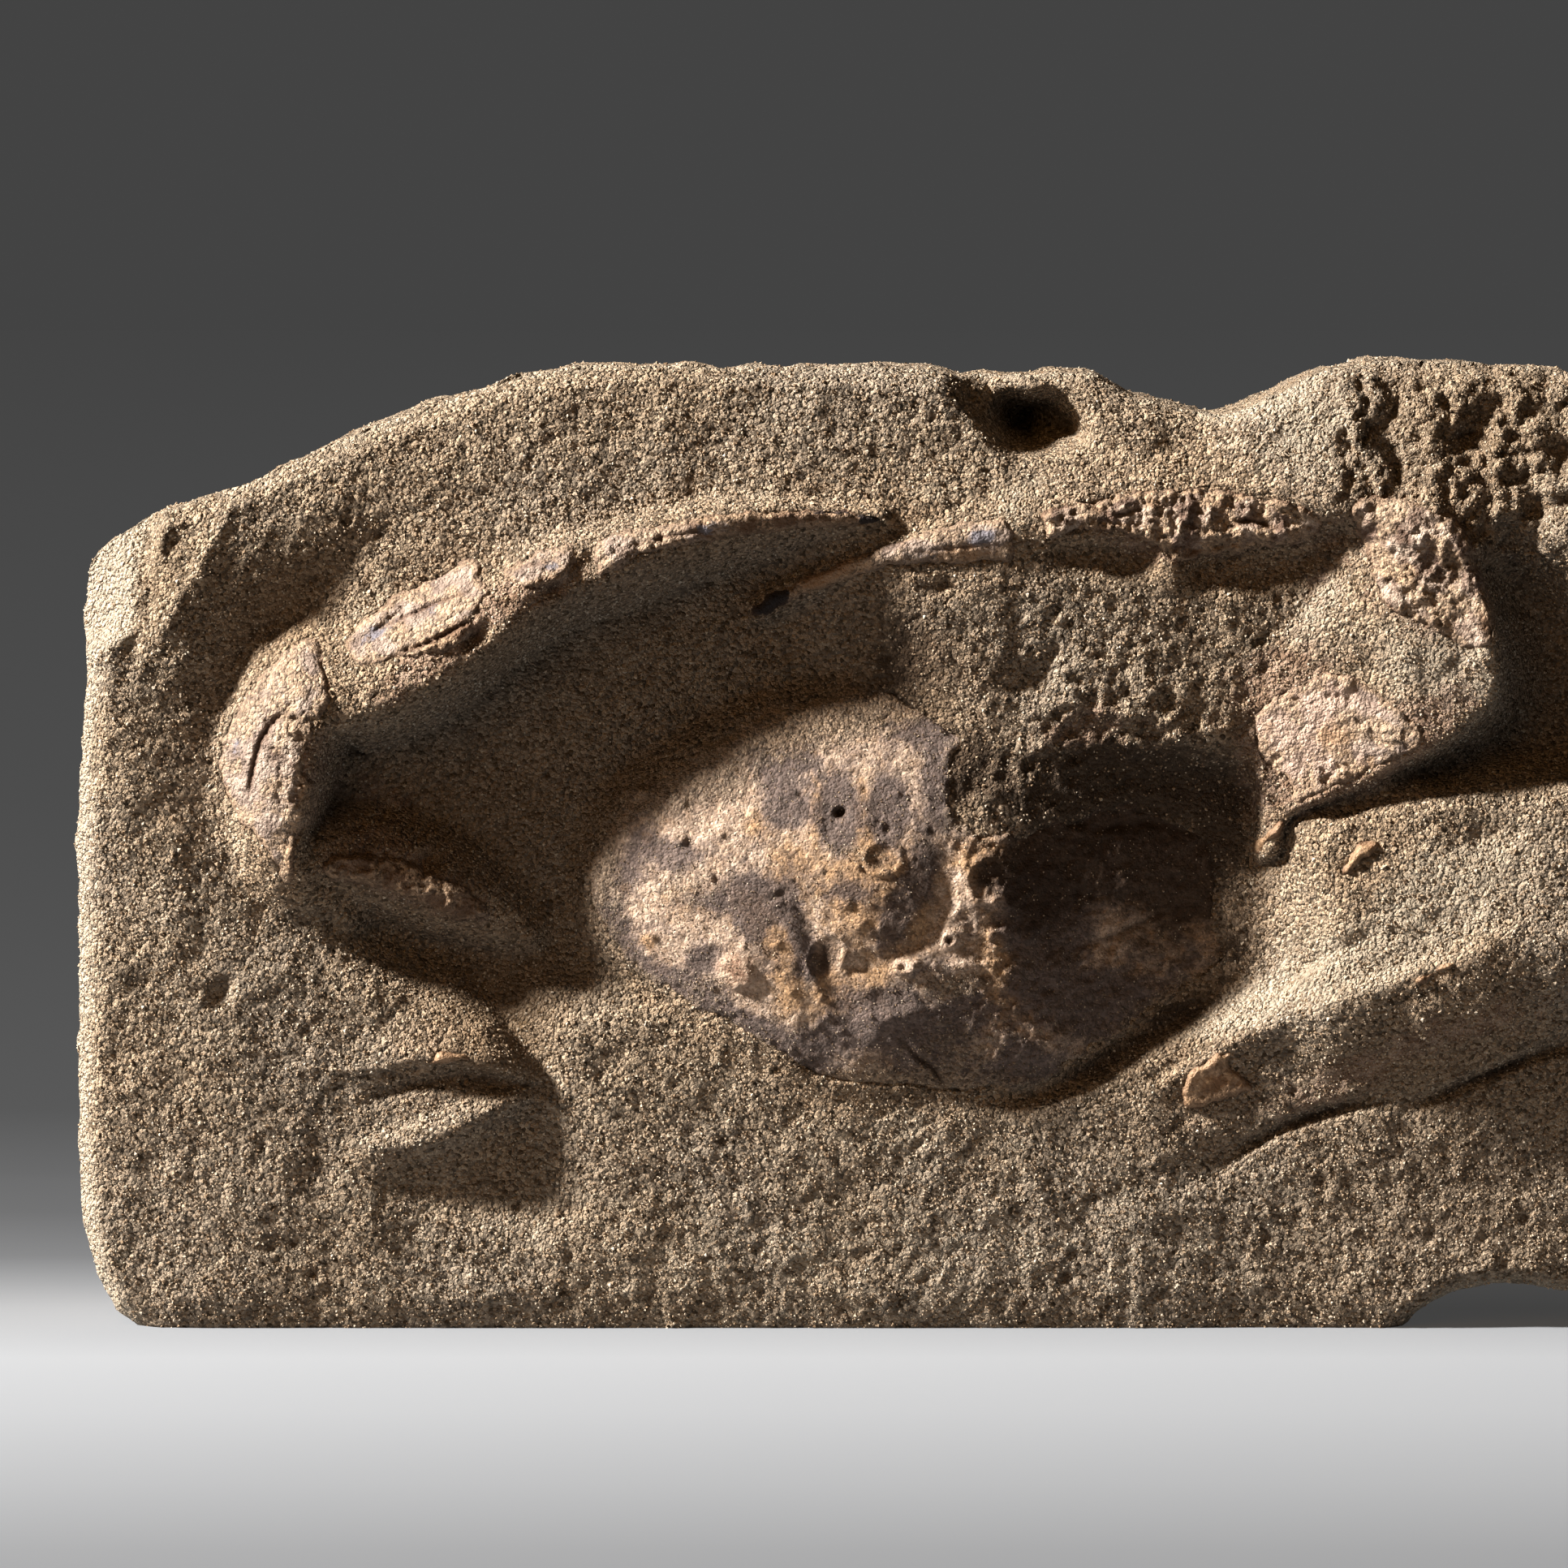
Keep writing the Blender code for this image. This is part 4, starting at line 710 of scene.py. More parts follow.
def crumbs(x, z):
    """The broken texture on top of the forms."""
    places = in_plane(x, z)
    zone = np.clip(lumps(x, z, ROUGH_ZONES), 0, 2.0)
    h = 0.28 * rough(places, 7, 21, sizes=2)
    h += (0.17 + 0.07 * zone) * rough(places, 1.8, 31, sizes=2, falls=0.8)
    h += 0.10 * zone * rough(places, 1.1, 33, sizes=2, falls=0.8)
    h -= 0.9 * pocks(x, z, 8.0, 0.95, 41) + (0.4 + 0.35 * zone) * pocks(x, z, 3.4, 0.62, 43)
    crag = level(x, z, CRAG, 1.0) * ease((x - 53) / 7)
    crack = crannies(places, 5, 5, 9, 56) + 0.8 * crannies(places, 2.6, 4, 6, 57)
    broken = 1.1 * rough(places, 5, 53, sizes=2) + 0.9 * (0.42 - knobs(x, z, 1.6, 52)) - 1.2 * crack
    broken += 0.55 * rough(places, 2.4, 54, sizes=3, falls=0.8)
    return (h + crag * broken) * (1 - 0.75 * on_bevel(x, z))


def crust(x, z, beyond):
    """Sand that still clings to the front of the body, thin where the bare shell begins."""
    places = in_plane(x, z)
    h = np.clip(lumps(x, z, CRUST_ON_BODY), 0, 1) * (0.8 + 0.8 * rough(places, 3.4, 58, sizes=3, falls=0.85))
    h = h * ease(beyond / 9) + lumps(x, z, HOLES_IN_CRUST)
    h += 0.5 * np.clip(lumps(x, z, SCABBY_CRUST), 0, 1) * rough(places, 1.9, 50, sizes=2, falls=0.8)
    h -= 2.0 * np.clip(lumps(x, z, SIDE_OF_TOP_PIT), 0, 1) * (1 + 0.5 * rough(places, 2.2, 55, sizes=2))
    return h + rings(x, z, SCARS_IN_CRUST)


print("crumbs at the crown:", crumbs(*crown).round(2))

# %% [markdown]
# ## The whole face of the stone
# Under a patch of shell the stone is sunk by more than the shell is thick below its surface, so
# the two never fight for the same place. The body dome is stone too, wherever no shell covers it:
# there sand still clings to the front of the body as a rough crust.

# %% How the wrist leans and the arm rises
# For the right arm: height above the base, where the arm starts to rise, and how high the stone is there.
ARM_STARTS = [
    (66, 48, 0), (74, 47, 0.4), (80, 45.5, 1.2), (86, 46, 1.3), (92, 51, 1.3), (96, 53.5, 1.3),
    (104, 57, 1.3),
]
LEVELLED = [(75.5, 92, 3, 10, 1.6, 5), (87, 99, 5, 8, 3.6), (34.8, 98.8, 1.7, 3.4, 1.1, 8)]
CREST_BY_BEVEL = [
    (-85, 107, 0.1, 1.5, 1.5), (-87, 103, 0.5, 2, 1.6), (-90, 97, 0.4, 2, 1.6), (-93.5, 91, 0.3, 2, 1.6),
    (-97, 87, 0, 2, 2),
]
GROOVE_BY_BEVEL = [
    (-90, 105, -0.3, 3, 3), (-94, 99, -0.7, 3.4, 3), (-95.5, 93, -0.5, 3, 3), (-98, 88, -0.2, 2, 2),
]
CREST_OF_REAR_LEG = [
    (30, 28.6, 0, 2, 4), (34, 31.6, 0.5, 2, 4), (38, 34.2, 0.9, 2, 5), (42.5, 37.1, 1.3, 2, 5),
    (46.7, 39.2, 1.4, 2, 5), (53, 41.7, 1.4, 2, 5.5), (59, 44.3, 1.4, 2, 5.5), (65.4, 46.4, 1.3, 2, 5),
    (73.7, 49.5, 0.9, 2.5, 5), (80, 52.2, 0.2, 3, 5),
]
CREASE_ABOVE_LEG = [
    (46.5, 42.2, 0, 2.5, 1.5), (50, 44.6, -1.4, 2.5, 1.5), (54, 47.8, -1.5, 2.5, 1.5),
    (59, 50.6, -0.6, 3, 2), (64, 53, 0, 3, 2),
]


def leans(x, z):
    """The right wrist and the mound below it tip their faces to the upper left."""
    wrist = level(x, z, RIGHT_WRIST_AND_ARM, 1.0)
    mound = level(x, z, FRONT_LEG_MOUND, 1.0)
    to_right = np.clip(x - 46, 0, 30) * 0.27 - 4.2 - 2.0 * (np.clip(x - 75, 0, 8) / 8) ** 2
    to_low_right = 0.17 * np.clip((x - 54) * 0.83 - (z - 64) * 0.56, 0, 36)
    crag_slope = 0.11 * level(x, z, CRAG, 1.0) * np.clip((x - 60) * 0.83 - (z - 115) * 0.56, -10, 20)
    foot = 3.3 * np.clip((44 - z) / 44, 0, 1.2) ** 1.5 + 1.3 * ease((x - 20) / 60) * ease((40 - z) / 30)
    foot += 1.6 * ease((x - 40) / 40) * ease((52 - z) / 20)
    h = wrist * to_right + mound * to_low_right + crag_slope + foot
    h = cracks(x, z, (CREST_BY_BEVEL, GROOVE_BY_BEVEL, CREST_OF_REAR_LEG, CREASE_ABOVE_LEG), h)
    return h + lumps(x, z, LEVELLED)


def arm_ramp(x, z):
    """The slope by which the right arm rises out of the ledge on its left, and how far it counts."""
    at, start, height = np.array(ARM_STARTS, float).T
    border = np.interp(z, at, start)
    slope = np.interp(z, [86, 93], [0.27, 0.5])
    counts = ease((x - border + 4) / 4) * ease((67 - x) / 9) * ease((z - 67) / 6) * ease((106 - z) / 5)
    return np.interp(z, at, height) + slope * np.clip(x - border, 0, None), counts


print("lean at the crown:", leans(*crown).round(2), "and share of the arm:", arm_ramp(*crown)[1])

# %% The height of the finished stone
SHELL_BED = 1.1
WIDE_OVERLAP, NARROW_OVERLAP = 1.5, 0.5


def ground(x, z):
    """The stone and the body dome without their small shapes, but with the swells of the picking."""
    h = stone_face(x, z) + leans(x, z)
    ramp, counts = arm_ramp(x, z)
    h = h * (1 - counts) + ramp * counts
    return h - worn_edge(x, z) + 0.34 * rough(in_plane(x, z), 13, 11, sizes=2), body_dome(x, z)


def stone_height(x, z):
    stone, dome = ground(x, z)
    h = higher(stone, dome, 2.2)
    bare = np.ones(x.shape)
    for name, outline in OUTLINES.items():
        away, _ = depth_inside(smooth_loop(outline), x, z, 12)
        overlap = WIDE_OVERLAP if name == "body_shell" else NARROW_OVERLAP
        covered = ease((away - overlap) / (0.4 + overlap / 2))
        bed = stone
        if name == "body_shell":
            bed = np.maximum(dome, stone - 0.5)
            covered *= ease((dome - stone + 0.4) / 0.8)
            past_shell = np.clip(-away, 0, 20)
        h = h * (1 - covered) + (bed - SHELL_BED) * covered
        bare *= 1 - covered
    return h + (crumbs(x, z) + crust(x, z, past_shell)) * bare


print("bed under the crown:", stone_height(*crown).round(1))

# %% [markdown]
# ## The block as one closed mesh
# The front is a grid of squares about half a millimetre wide, laid between the four sides of the
# outline: a place takes its x and z from the sides around it, in the way a net stretched on a
# bent frame does. The sides and the back need far fewer faces, so each join between them halves the
# number of points. That puts the faces where the carving is.

# %% A net between four sides
COLUMNS, ROWS = 360, 212
RIM_JITTER = 0.4


def along(side, share, axis):
    """Places on a side of the outline, evenly spaced along x (axis 0) or z (axis 1)."""
    side = np.array(side, float)
    at = side[0, axis] + share * (side[-1, axis] - side[0, axis])
    other = np.interp(at, side[:, axis], side[:, 1 - axis])
    return np.column_stack([at, other] if axis == 0 else [other, at])


def net(columns, rows):
    """A grid of places between the four sides, row by row from below."""
    u, v = np.linspace(0, 1, columns + 1), np.linspace(0, 1, rows + 1)
    low, high = along(BASE_SIDE, u, 0)[None], along(TOP_SIDE, u, 0)[None]
    left, right = along(LEFT_SIDE, v, 1)[:, None], along(RIGHT_SIDE, v, 1)[:, None]
    u, v = u[None, :, None], v[:, None, None]
    corners = (1 - u) * (1 - v) * low[:, :1] + u * (1 - v) * low[:, -1:]
    corners = corners + (1 - u) * v * high[:, :1] + u * v * high[:, -1:]
    return ((1 - v) * low + v * high + (1 - u) * left + u * right - corners).reshape(-1, 2)


def squares(columns, rows, start=0):
    """The faces of a grid whose points follow one another row by row."""
    k = start + np.arange(rows * (columns + 1)).reshape(rows, columns + 1)[:, :-1].ravel()
    return np.column_stack([k, k + 1, k + columns + 2, k + columns + 1])


def rim_of(columns, rows):
    """Numbers of the points round the edge of a grid, anticlockwise."""
    grid = np.arange((rows + 1) * (columns + 1)).reshape(rows + 1, columns + 1)
    return np.concatenate([grid[0, :-1], grid[:-1, -1], grid[-1, :0:-1], grid[:0:-1, 0]])


def loosened(places):
    """The places with the rim made ragged, but never the sawn base."""
    x, z = places.T
    fade = RIM_JITTER * np.clip(1 - from_rim(x, z) / 5, 0, 1)
    x = x + fade * rough(in_plane(x, z), 5, 61)
    z = z + fade * ease(z / 2) * rough(in_plane(x, z), 5, 62)
    return np.column_stack([x, np.maximum(z, 0)])


face_places = loosened(net(COLUMNS, ROWS))
face_height = stone_height(*face_places.T)
print("face:", len(face_places), "points over a relief of", np.ptp(face_height).round(1), "mm")

# %% The sides and the back
SIDE_LAYERS = 24
CROWDED_TO_FACE = 1.15
REAR_COLUMNS, REAR_ROWS = COLUMNS // 4, ROWS // 4
REAR_SHRINK = 0.97
# How far the sides lean in, from the front at 0 to the back at 1.
SIDE_INSETS = [(0, 0), (0.16, 0.25), (0.4, 0.9), (0.66, 0.5), (0.86, 1.3), (1, 2.6)]
MIDDLE = np.array([0.0, BLOCK_HEIGHT * 0.45])
CHIPS_OF_REAR = [
    (-30, 46, 26, 17, 2.4, 20), (38, 72, 20, 26, 2, -15), (-70, 88, 14, 18, -1.4),
    (72, 30, 18, 14, -1.2, 10), (6, 104, 24, 9, 1.8, 5),
]


def back(x, z):
    """How far back the rear face lies: a few broad chipped faces and a worn rim."""
    y = BACK_Y - 5.5 * np.clip(1 - from_rim(x, z) / 13, 0, 1) ** 2
    y -= 2.6 * np.clip((x - 34) / 70, 0, None) + 3.2 * np.clip((-52 - x) / 54, 0, None)
    y -= 4.0 * np.clip((z - 78) / 46, 0, None) ** 1.3
    return np.minimum(y - lumps(x, z, CHIPS_OF_REAR), BACK_Y)


def drawn_in(ring, by):
    """The ring drawn in towards the middle of the block, its foot kept on the ground."""
    inwards = MIDDLE - ring
    moved = ring + by[:, None] * inwards / np.linalg.norm(inwards, axis=1)[:, None]
    return np.where(ring[:, 1:] < 0.01, np.column_stack([moved[:, 0], ring[:, 1]]), moved)


def strip(fine, coarse):
    """Faces between a ring and the next: as many points each, or half as many in the second."""
    count = len(coarse)
    after = np.roll(np.arange(count), -1)
    if len(fine) == count:
        return [(fine[b], fine[a], coarse[a], coarse[b]) for a, b in zip(range(count), after)]
    faces = []
    for a, b in zip(range(count), after):
        start, middle, end = fine[2 * a], fine[2 * a + 1], fine[2 * b]
        faces += [(middle, start, coarse[a]), (middle, coarse[a], coarse[b]), (end, middle, coarse[b])]
    return faces


print("the back lies at", back(*MIDDLE[:, None]).round(1), "mm behind the middle")

# %% Rings round the sides, and the net of the back
last_ring = rim_of(COLUMNS, ROWS)
ring = face_places[last_ring][::2]
rim_y = (FACE_Y - face_height[last_ring])[::2]
rear_y = back(*ring.T)
run = np.cumsum(np.hypot(*(np.roll(ring, -1, axis=0) - ring).T))
points = np.column_stack([face_places[:, 0], FACE_Y - face_height, face_places[:, 1]])
faces = squares(COLUMNS, ROWS).tolist()
for layer in range(1, SIDE_LAYERS + 1):
    share = (layer / SIDE_LAYERS) ** CROWDED_TO_FACE
    wave = 0.7 * np.sin(run / 13 + 9 * share) + 0.5 * np.sin(run / 5.3 + 4 * share)
    inset = np.interp(share, *zip(*SIDE_INSETS)) + wave * min(1, 6 * share)
    y = rim_y * (1 - share) + rear_y * share
    knocked = rough(np.column_stack([ring[:, 0], y, ring[:, 1]]), 11, 71, sizes=4, falls=0.6)
    moved = drawn_in(ring, np.clip(inset, 0, None) - 0.55 * knocked * min(1, 5 * share))
    this_ring = len(points) + np.arange(len(ring))
    layer_places = np.column_stack([moved[:, 0], y + 0.2 * knocked, np.maximum(moved[:, 1], 0)])
    points = np.vstack([points, layer_places])
    faces += strip(last_ring, this_ring)
    last_ring = this_ring

rear = net(REAR_COLUMNS, REAR_ROWS)
rear_rim = rim_of(REAR_COLUMNS, REAR_ROWS)
rear[rear_rim] = points[last_ring][::2][:, [0, 2]]
inner = np.setdiff1d(np.arange(len(rear)), rear_rim)
rear[inner] = MIDDLE + (rear[inner] - MIDDLE) * REAR_SHRINK
y = back(*rear.T)
y -= 0.5 * np.abs(rough(np.column_stack([rear[:, 0], y, rear[:, 1]]), 14, 81, sizes=4, falls=0.6))
y[rear_rim] = points[last_ring][::2][:, 1]
faces += [(a, d, c, b) for a, b, c, d in squares(REAR_COLUMNS, REAR_ROWS, len(points))]
faces += strip(last_ring, len(points) + rear_rim)
points = np.vstack([points, np.column_stack([rear[:, 0], y, rear[:, 1]])])
print(len(points), "points and", len(faces), "faces in all")

# %% A closed mesh from points in millimetres
def placed_mesh(name, mesh):
    """A mesh as an object of the scene."""
    made = bpy.data.objects.new(name, mesh)
    bpy.context.scene.collection.objects.link(made)
    mesh.calc_loop_triangles()
    print(name, len(mesh.loop_triangles), "triangles")
    return made


def whole_mesh(name, points, faces):
    """A mesh object with every face turned outwards."""
    mesh = bpy.data.meshes.new(name)
    mesh.from_pydata((points * MM).tolist(), [], [tuple(map(int, f)) for f in faces])
    kneaded = bmesh.new()
    kneaded.from_mesh(mesh)
    bmesh.ops.recalc_face_normals(kneaded, faces=kneaded.faces)
    print(name, "has", sum(len(edge.link_faces) != 2 for edge in kneaded.edges), "open edges")
    kneaded.to_mesh(mesh)
    kneaded.free()
    mesh.polygons.foreach_set("use_smooth", [True] * len(mesh.polygons))
    return placed_mesh(name, mesh)


block = whole_mesh("sandstone_block", points, faces)

# %% [markdown]
# ## Pieces of shell
# Each patch is a plate that follows the ground, with a ragged edge and walls that go down into the
# stone. The grid inside the outline comes from a constrained Delaunay triangulation, which keeps
# the outline exactly and fills it with even triangles. A patch has its own small shapes: cracks,
# bumps and the grain of the broken inside.

# %% A plate over the ground
SHELL_PITCH = 0.34
BODY_PITCH = 0.37


def ragged(outline, pitch, by, seed):
    """The outline as an anticlockwise ring of even steps, moved in and out by chance."""
    loop = smooth_loop(outline)
    after = np.roll(loop, -1, axis=0)
    if np.sum(loop[:, 0] * after[:, 1] - after[:, 0] * loop[:, 1]) < 0:
        loop = loop[::-1]
    loop = closed(loop)
    run = np.concatenate([[0], np.cumsum(np.hypot(*np.diff(loop, axis=0).T))])
    at = np.linspace(0, run[-1], int(run[-1] / pitch), endpoint=False)
    ring = np.column_stack([np.interp(at, run, column) for column in loop.T])
    way = np.roll(ring, -2, axis=0) - np.roll(ring, 2, axis=0)
    out = np.column_stack([way[:, 1], -way[:, 0]]) / np.linalg.norm(way, axis=1)[:, None]
    return ring + by * out * rough(in_plane(*ring.T), 2.6, seed, sizes=2, falls=0.7)[:, None]


def filled(ring, pitch):
    """The ring's places, a staggered grid inside it, and the triangles between them."""
    low, high = ring.min(axis=0), ring.max(axis=0)
    rows = []
    for k, z in enumerate(np.arange(low[1], high[1], pitch * 0.87)):
        row_x = np.arange(low[0] + (k % 2) * pitch / 2, high[0], pitch)
        rows.append(np.column_stack([row_x, np.full(len(row_x), z)]))
    grid = np.vstack(rows)
    away, _ = depth_inside(ring, *grid.T, 1)
    places = np.vstack([ring, grid[away > pitch * 0.6]])
    edges = [(k, (k + 1) % len(ring)) for k in range(len(ring))]
    found = delaunay_2d_cdt([Vector(p) for p in places], edges, [list(range(len(ring)))], 1, 1e-6)
    return places, [tuple(f) for f in found[2]]


def plate(name, top, seed, pitch=SHELL_PITCH, raggedness=0.35, depth=1.6):
    """A closed plate inside its outline, whose top is the height that top(x, z, away) gives."""
    ring = ragged(OUTLINES[name], pitch, raggedness, seed)
    places, flat = filled(ring, pitch)
    x, z = places.T
    away, _ = depth_inside(ring, x, z, 60)
    away[: len(ring)] = 0
    height = top(x, z, away)
    count = len(places)
    sides = [(a, b, count + b, count + a) for a, b in enumerate(np.roll(range(len(ring)), -1))]
    under = [(c + count, b + count, a + count) for a, b, c in flat]
    layers = [np.column_stack([x, FACE_Y - height + below, z]) for below in (0, depth)]
    return whole_mesh(name, np.vstack(layers), flat + sides + under), x, z, away


# %% [markdown]
# ## The body shell
# The body shell is smooth and worn, freckled with small round bosses and healed scars where
# something grew on it. It rises out of the stone without a step along most of its edge, so its own
# edge dips under the sand instead of standing proud.

# %% Bosses, scars and cracks of the body shell
BOSSES = [
    (-28, 63.5, 1.1, 1.1, 0.35), (-32, 63, 0.9, 0.9, 0.25), (-22, 64.5, 0.8, 0.8, 0.2),
    (-35.5, 56, 1, 1, 0.25), (-31.5, 50.5, 1, 1, 0.3), (-38, 56.5, 0.7, 0.7, 0.2),
    (-24.5, 68, 0.8, 0.8, 0.2), (-33, 69.3, 1.6, 1, 0.3, 30), (-28, 68.5, 1.4, 0.9, 0.25, 20),
    (-4.5, 53, 1.2, 1, 0.45), (-2, 52.5, 0.9, 0.9, 0.35), (-6.5, 55.5, 1, 1, 0.3),
    (-20.6, 46.4, 2.7, 2.1, 0.75, -30, 4), (13.2, 51, 1.5, 1.2, 0.5), (17.3, 51, 1.3, 1.1, 0.5),
    (6.6, 50.8, 0.7, 0.7, 0.4), (9.5, 47.5, 2.4, 1.6, 0.5, 10), (14.5, 46.5, 1.6, 2.4, 0.35, 10),
    (-3.5, 44.2, 1.6, 1.1, 0.4, 20), (2, 47, 1.8, 1.2, 0.45, 20), (28, 61.8, 0.9, 0.9, 0.4),
    (19.5, 36.5, 3.2, 2, 0.5, 10), (15.5, 31.5, 2.2, 1.4, 0.5, 10), (-0.5, 40.8, 3.6, 1.2, 0.5, 10),
    (7, 53.6, 0.7, 3.6, 0.35, -38), (8.6, 59, 0.8, 4, 0.2, -4), (3, 36.2, 3.2, 1.5, 0.5, -40),
]
PITS = [
    (-9, 48.6, 1.9, 2.7, -0.4, -25, 1.5), (-7.2, 67, 0.75, 0.6, -1.3, 20, 1.5),
    (-12.5, 69.2, 0.5, 0.4, -0.4), (-4.2, 70, 0.45, 0.45, -0.4), (-1.2, 65, 0.5, 0.8, -0.4),
    (-11.7, 53.5, 1, 1.6, -0.3, 20), (-23, 58.3, 0.4, 0.9, -0.5, 20), (23.5, 56.5, 0.6, 0.7, -0.6),
    (-2.2, 61, 1.5, 1.3, -0.25), (11.8, 58.6, 1.7, 2.2, -0.35, -20), (6.7, 50.7, 0.35, 0.35, -0.9),
    (-15, 56.5, 1.8, 0.7, -0.3, 30),
]
SCARS = [
    (-1.8, 61.3, 2.4, 2, 0.3, 0.35, -10), (11.8, 58.5, 2.5, 3, 0.35, 0.4, -20),
    (6.9, 50.8, 0.9, 0.9, 0.35, 0.3), (13.2, 50.8, 1.2, 1.2, 0.4, 0.3), (-28, 63.8, 0.8, 0.8, 0.3, 0.25),
    (-23, 64.4, 0.6, 0.5, 0.3, 0.2), (-9, 48.6, 2.2, 3.1, 0.22, 0.4, -25),
    (-33.3, 68.2, 1.6, 1.5, 0.3, 0.3, 30), (-28, 68.3, 0.9, 0.7, 0.3, 0.25, 20),
    (9.8, 85.2, 1.8, 1.8, 0.35, 0.3), (42, 59.2, 2.2, 2.8, 0.25, 0.3), (1.1, 47.2, 1.3, 0.7, 0.35, 0.3),
    (28, 62, 0.8, 0.8, 0.3, 0.3), (1, 47.5, 1, 0.8, 0.3, 0.3),
]
BODY_CRACKS = [
    [(-34.6, 67.5, -0.1, 0.4), (-33.6, 69.8, -0.4, 0.4), (-29.5, 70, -0.2, 0.4)],
    [(40.5, 57, -0.1, 0.4), (42, 56.2, -0.4, 0.4), (44, 56.8, -0.2, 0.4)],
    [
        (0.5, 38, -0.2, 0.8, 0.8), (2.5, 35.6, -0.7, 0.9, 0.7), (4.5, 34, -0.8, 0.9, 0.7),
        (6.3, 31.4, -0.4, 0.8, 0.6),
    ],
    [(-13.5, 56, -0.1, 0.6), (-11.5, 53, -0.25, 0.7), (-9.8, 51, -0.2, 0.7)],
    [(-5, 61.5, -0.2, 0.5), (-3.6, 59, -0.3, 0.5), (-1, 58.5, -0.2, 0.5)],
    [(20, 49, -0.1, 0.6), (26, 50, -0.35, 0.8), (33, 53, -0.35, 0.9), (38, 55, -0.1, 0.7)],
    [(-14, 75, -0.1, 0.5), (-8, 72, -0.15, 0.5), (3, 72.6, -0.15, 0.5), (6, 74, 0, 0.5)],
    [(22, 66, -0.4, 1, 1), (26, 64.5, -0.6, 1.2, 1), (33, 65, -0.7, 1.4, 1), (38, 63.5, -0.4, 1.2, 1)],
]
print(len(BOSSES), "bosses,", len(PITS), "pits,", len(SCARS), "scars,", len(BODY_CRACKS), "cracks")

# %% The surface of the body shell
def body_shell_top(x, z, away):
    stone, dome = ground(x, z)
    places = in_plane(x, z)
    sag = away + 1.1 * rough(places, 4.0, 95, sizes=3, falls=0.7)
    h = np.maximum(dome, stone - 0.5) + 0.22 - 0.9 * (1 - ease(sag / 2.4))
    h -= 1.3 * (1 - ease((dome - stone + 0.4 + 0.3 * rough(places, 3.0, 97, sizes=2)) / 0.8))
    worn = 0.5 + 0.5 * ease(0.5 + 0.8 * hills(places, 12, 93))
    h += 0.12 * rough(places, 6, 91) + 0.045 * worn * rough(places, 1.3, 92, sizes=2, falls=0.7)
    h += (0.09 + 0.36 * ease((x - 4) / 10)) * rough(places, 3.0, 94, sizes=3, falls=0.8)
    h += 0.3 * np.clip(1 - knobs(x, z, 4.4, 96) / 0.14, 0, 1)
    h += lumps(x, z, BOSSES) + lumps(x, z, PITS) + rings(x, z, SCARS)
    return cracks(x, z, BODY_CRACKS, h)


body, body_x, body_z, body_away = plate(
    "body_shell", body_shell_top, seed=101, pitch=BODY_PITCH, raggedness=0.5, depth=3.0
)

# %% [markdown]
# ## The shell of the claws
# The left claw keeps its outer layer: smooth, pinkish, and cracked along its length. The right
# palm and wrist have lost theirs, and what shows is the knobbly reddish inside. One function makes
# both, with the share of broken surface as a number.

# %% Cracks of the claws
CLAW_CRACKS = [
    [(-77.5, 81, -0.2, 0.5), (-81, 77, -0.9, 0.6), (-82.5, 72, -1, 0.6), (-83, 69, -0.2, 0.5)],
    [(-82.4, 84, -0.1, 0.4), (-80.5, 79, -0.35, 0.4), (-80.8, 75, -0.2, 0.4)],
    [(-68.5, 89.5, -0.1, 0.4), (-62, 92.5, -0.7, 0.5), (-56, 95, -0.6, 0.5), (-53, 95.8, 0, 0.4)],
    [(-66, 86.8, -0.1, 0.4), (-60, 88.9, -0.8, 0.5), (-55, 91.5, -0.6, 0.5)],
    [(-64, 95, -0.1, 0.4), (-63, 91, -0.3, 0.4), (-63.6, 87.4, -0.1, 0.4)],
    [(-49.5, 98.2, -0.1, 0.4), (-46, 99, -0.4, 0.5), (-43, 99.5, -0.2, 0.4)],
    [(-36, 100.6, -0.2, 0.5), (-30, 102.3, -0.5, 0.5), (-25, 103.2, -0.3, 0.4)],
    [(-15, 95.9, -0.2, 0.4, 0.5), (-10, 97.9, -0.5, 0.4, 0.5), (-5, 100, -0.3, 0.4, 0.5)],
    [(2, 100.4, -0.1, 0.4), (7, 100.9, -0.35, 0.5), (13, 101.4, -0.2, 0.4)],
    [(24, 106.4, -0.2, 0.6, 0.6), (28, 105.2, -0.7, 0.8, 0.7), (31, 105.9, -0.3, 0.6, 0.6)],
    [(42, 103.4, -0.3, 0.6), (45, 104.4, -0.7, 0.8), (49, 103.2, -0.4, 0.6)],
    [(-74, 87, -0.4, 0.6), (-72, 83.5, -0.9, 0.7), (-69.5, 80, -0.5, 0.6)],
]
BROKEN_PLACES = [
    (-76.5, 74, 4.4, 9, 1, 12, 2), (-75, 60, 3.5, 3.5, 0.8), (-48, 95, 5, 2.2, 0.8, 20),
    (-32, 100.6, 6, 2.4, 1, 14), (-58, 88.6, 8, 1.5, 0.9, 14), (-70, 91, 2.5, 3, 0.6),
    (57, 72, 9, 3, 0.5, 25), (66, 98, 8, 9, 0.6), (-54, 96.5, 1.6, 3.5, 0.6),
]
print(len(CLAW_CRACKS), "cracks in the claws")

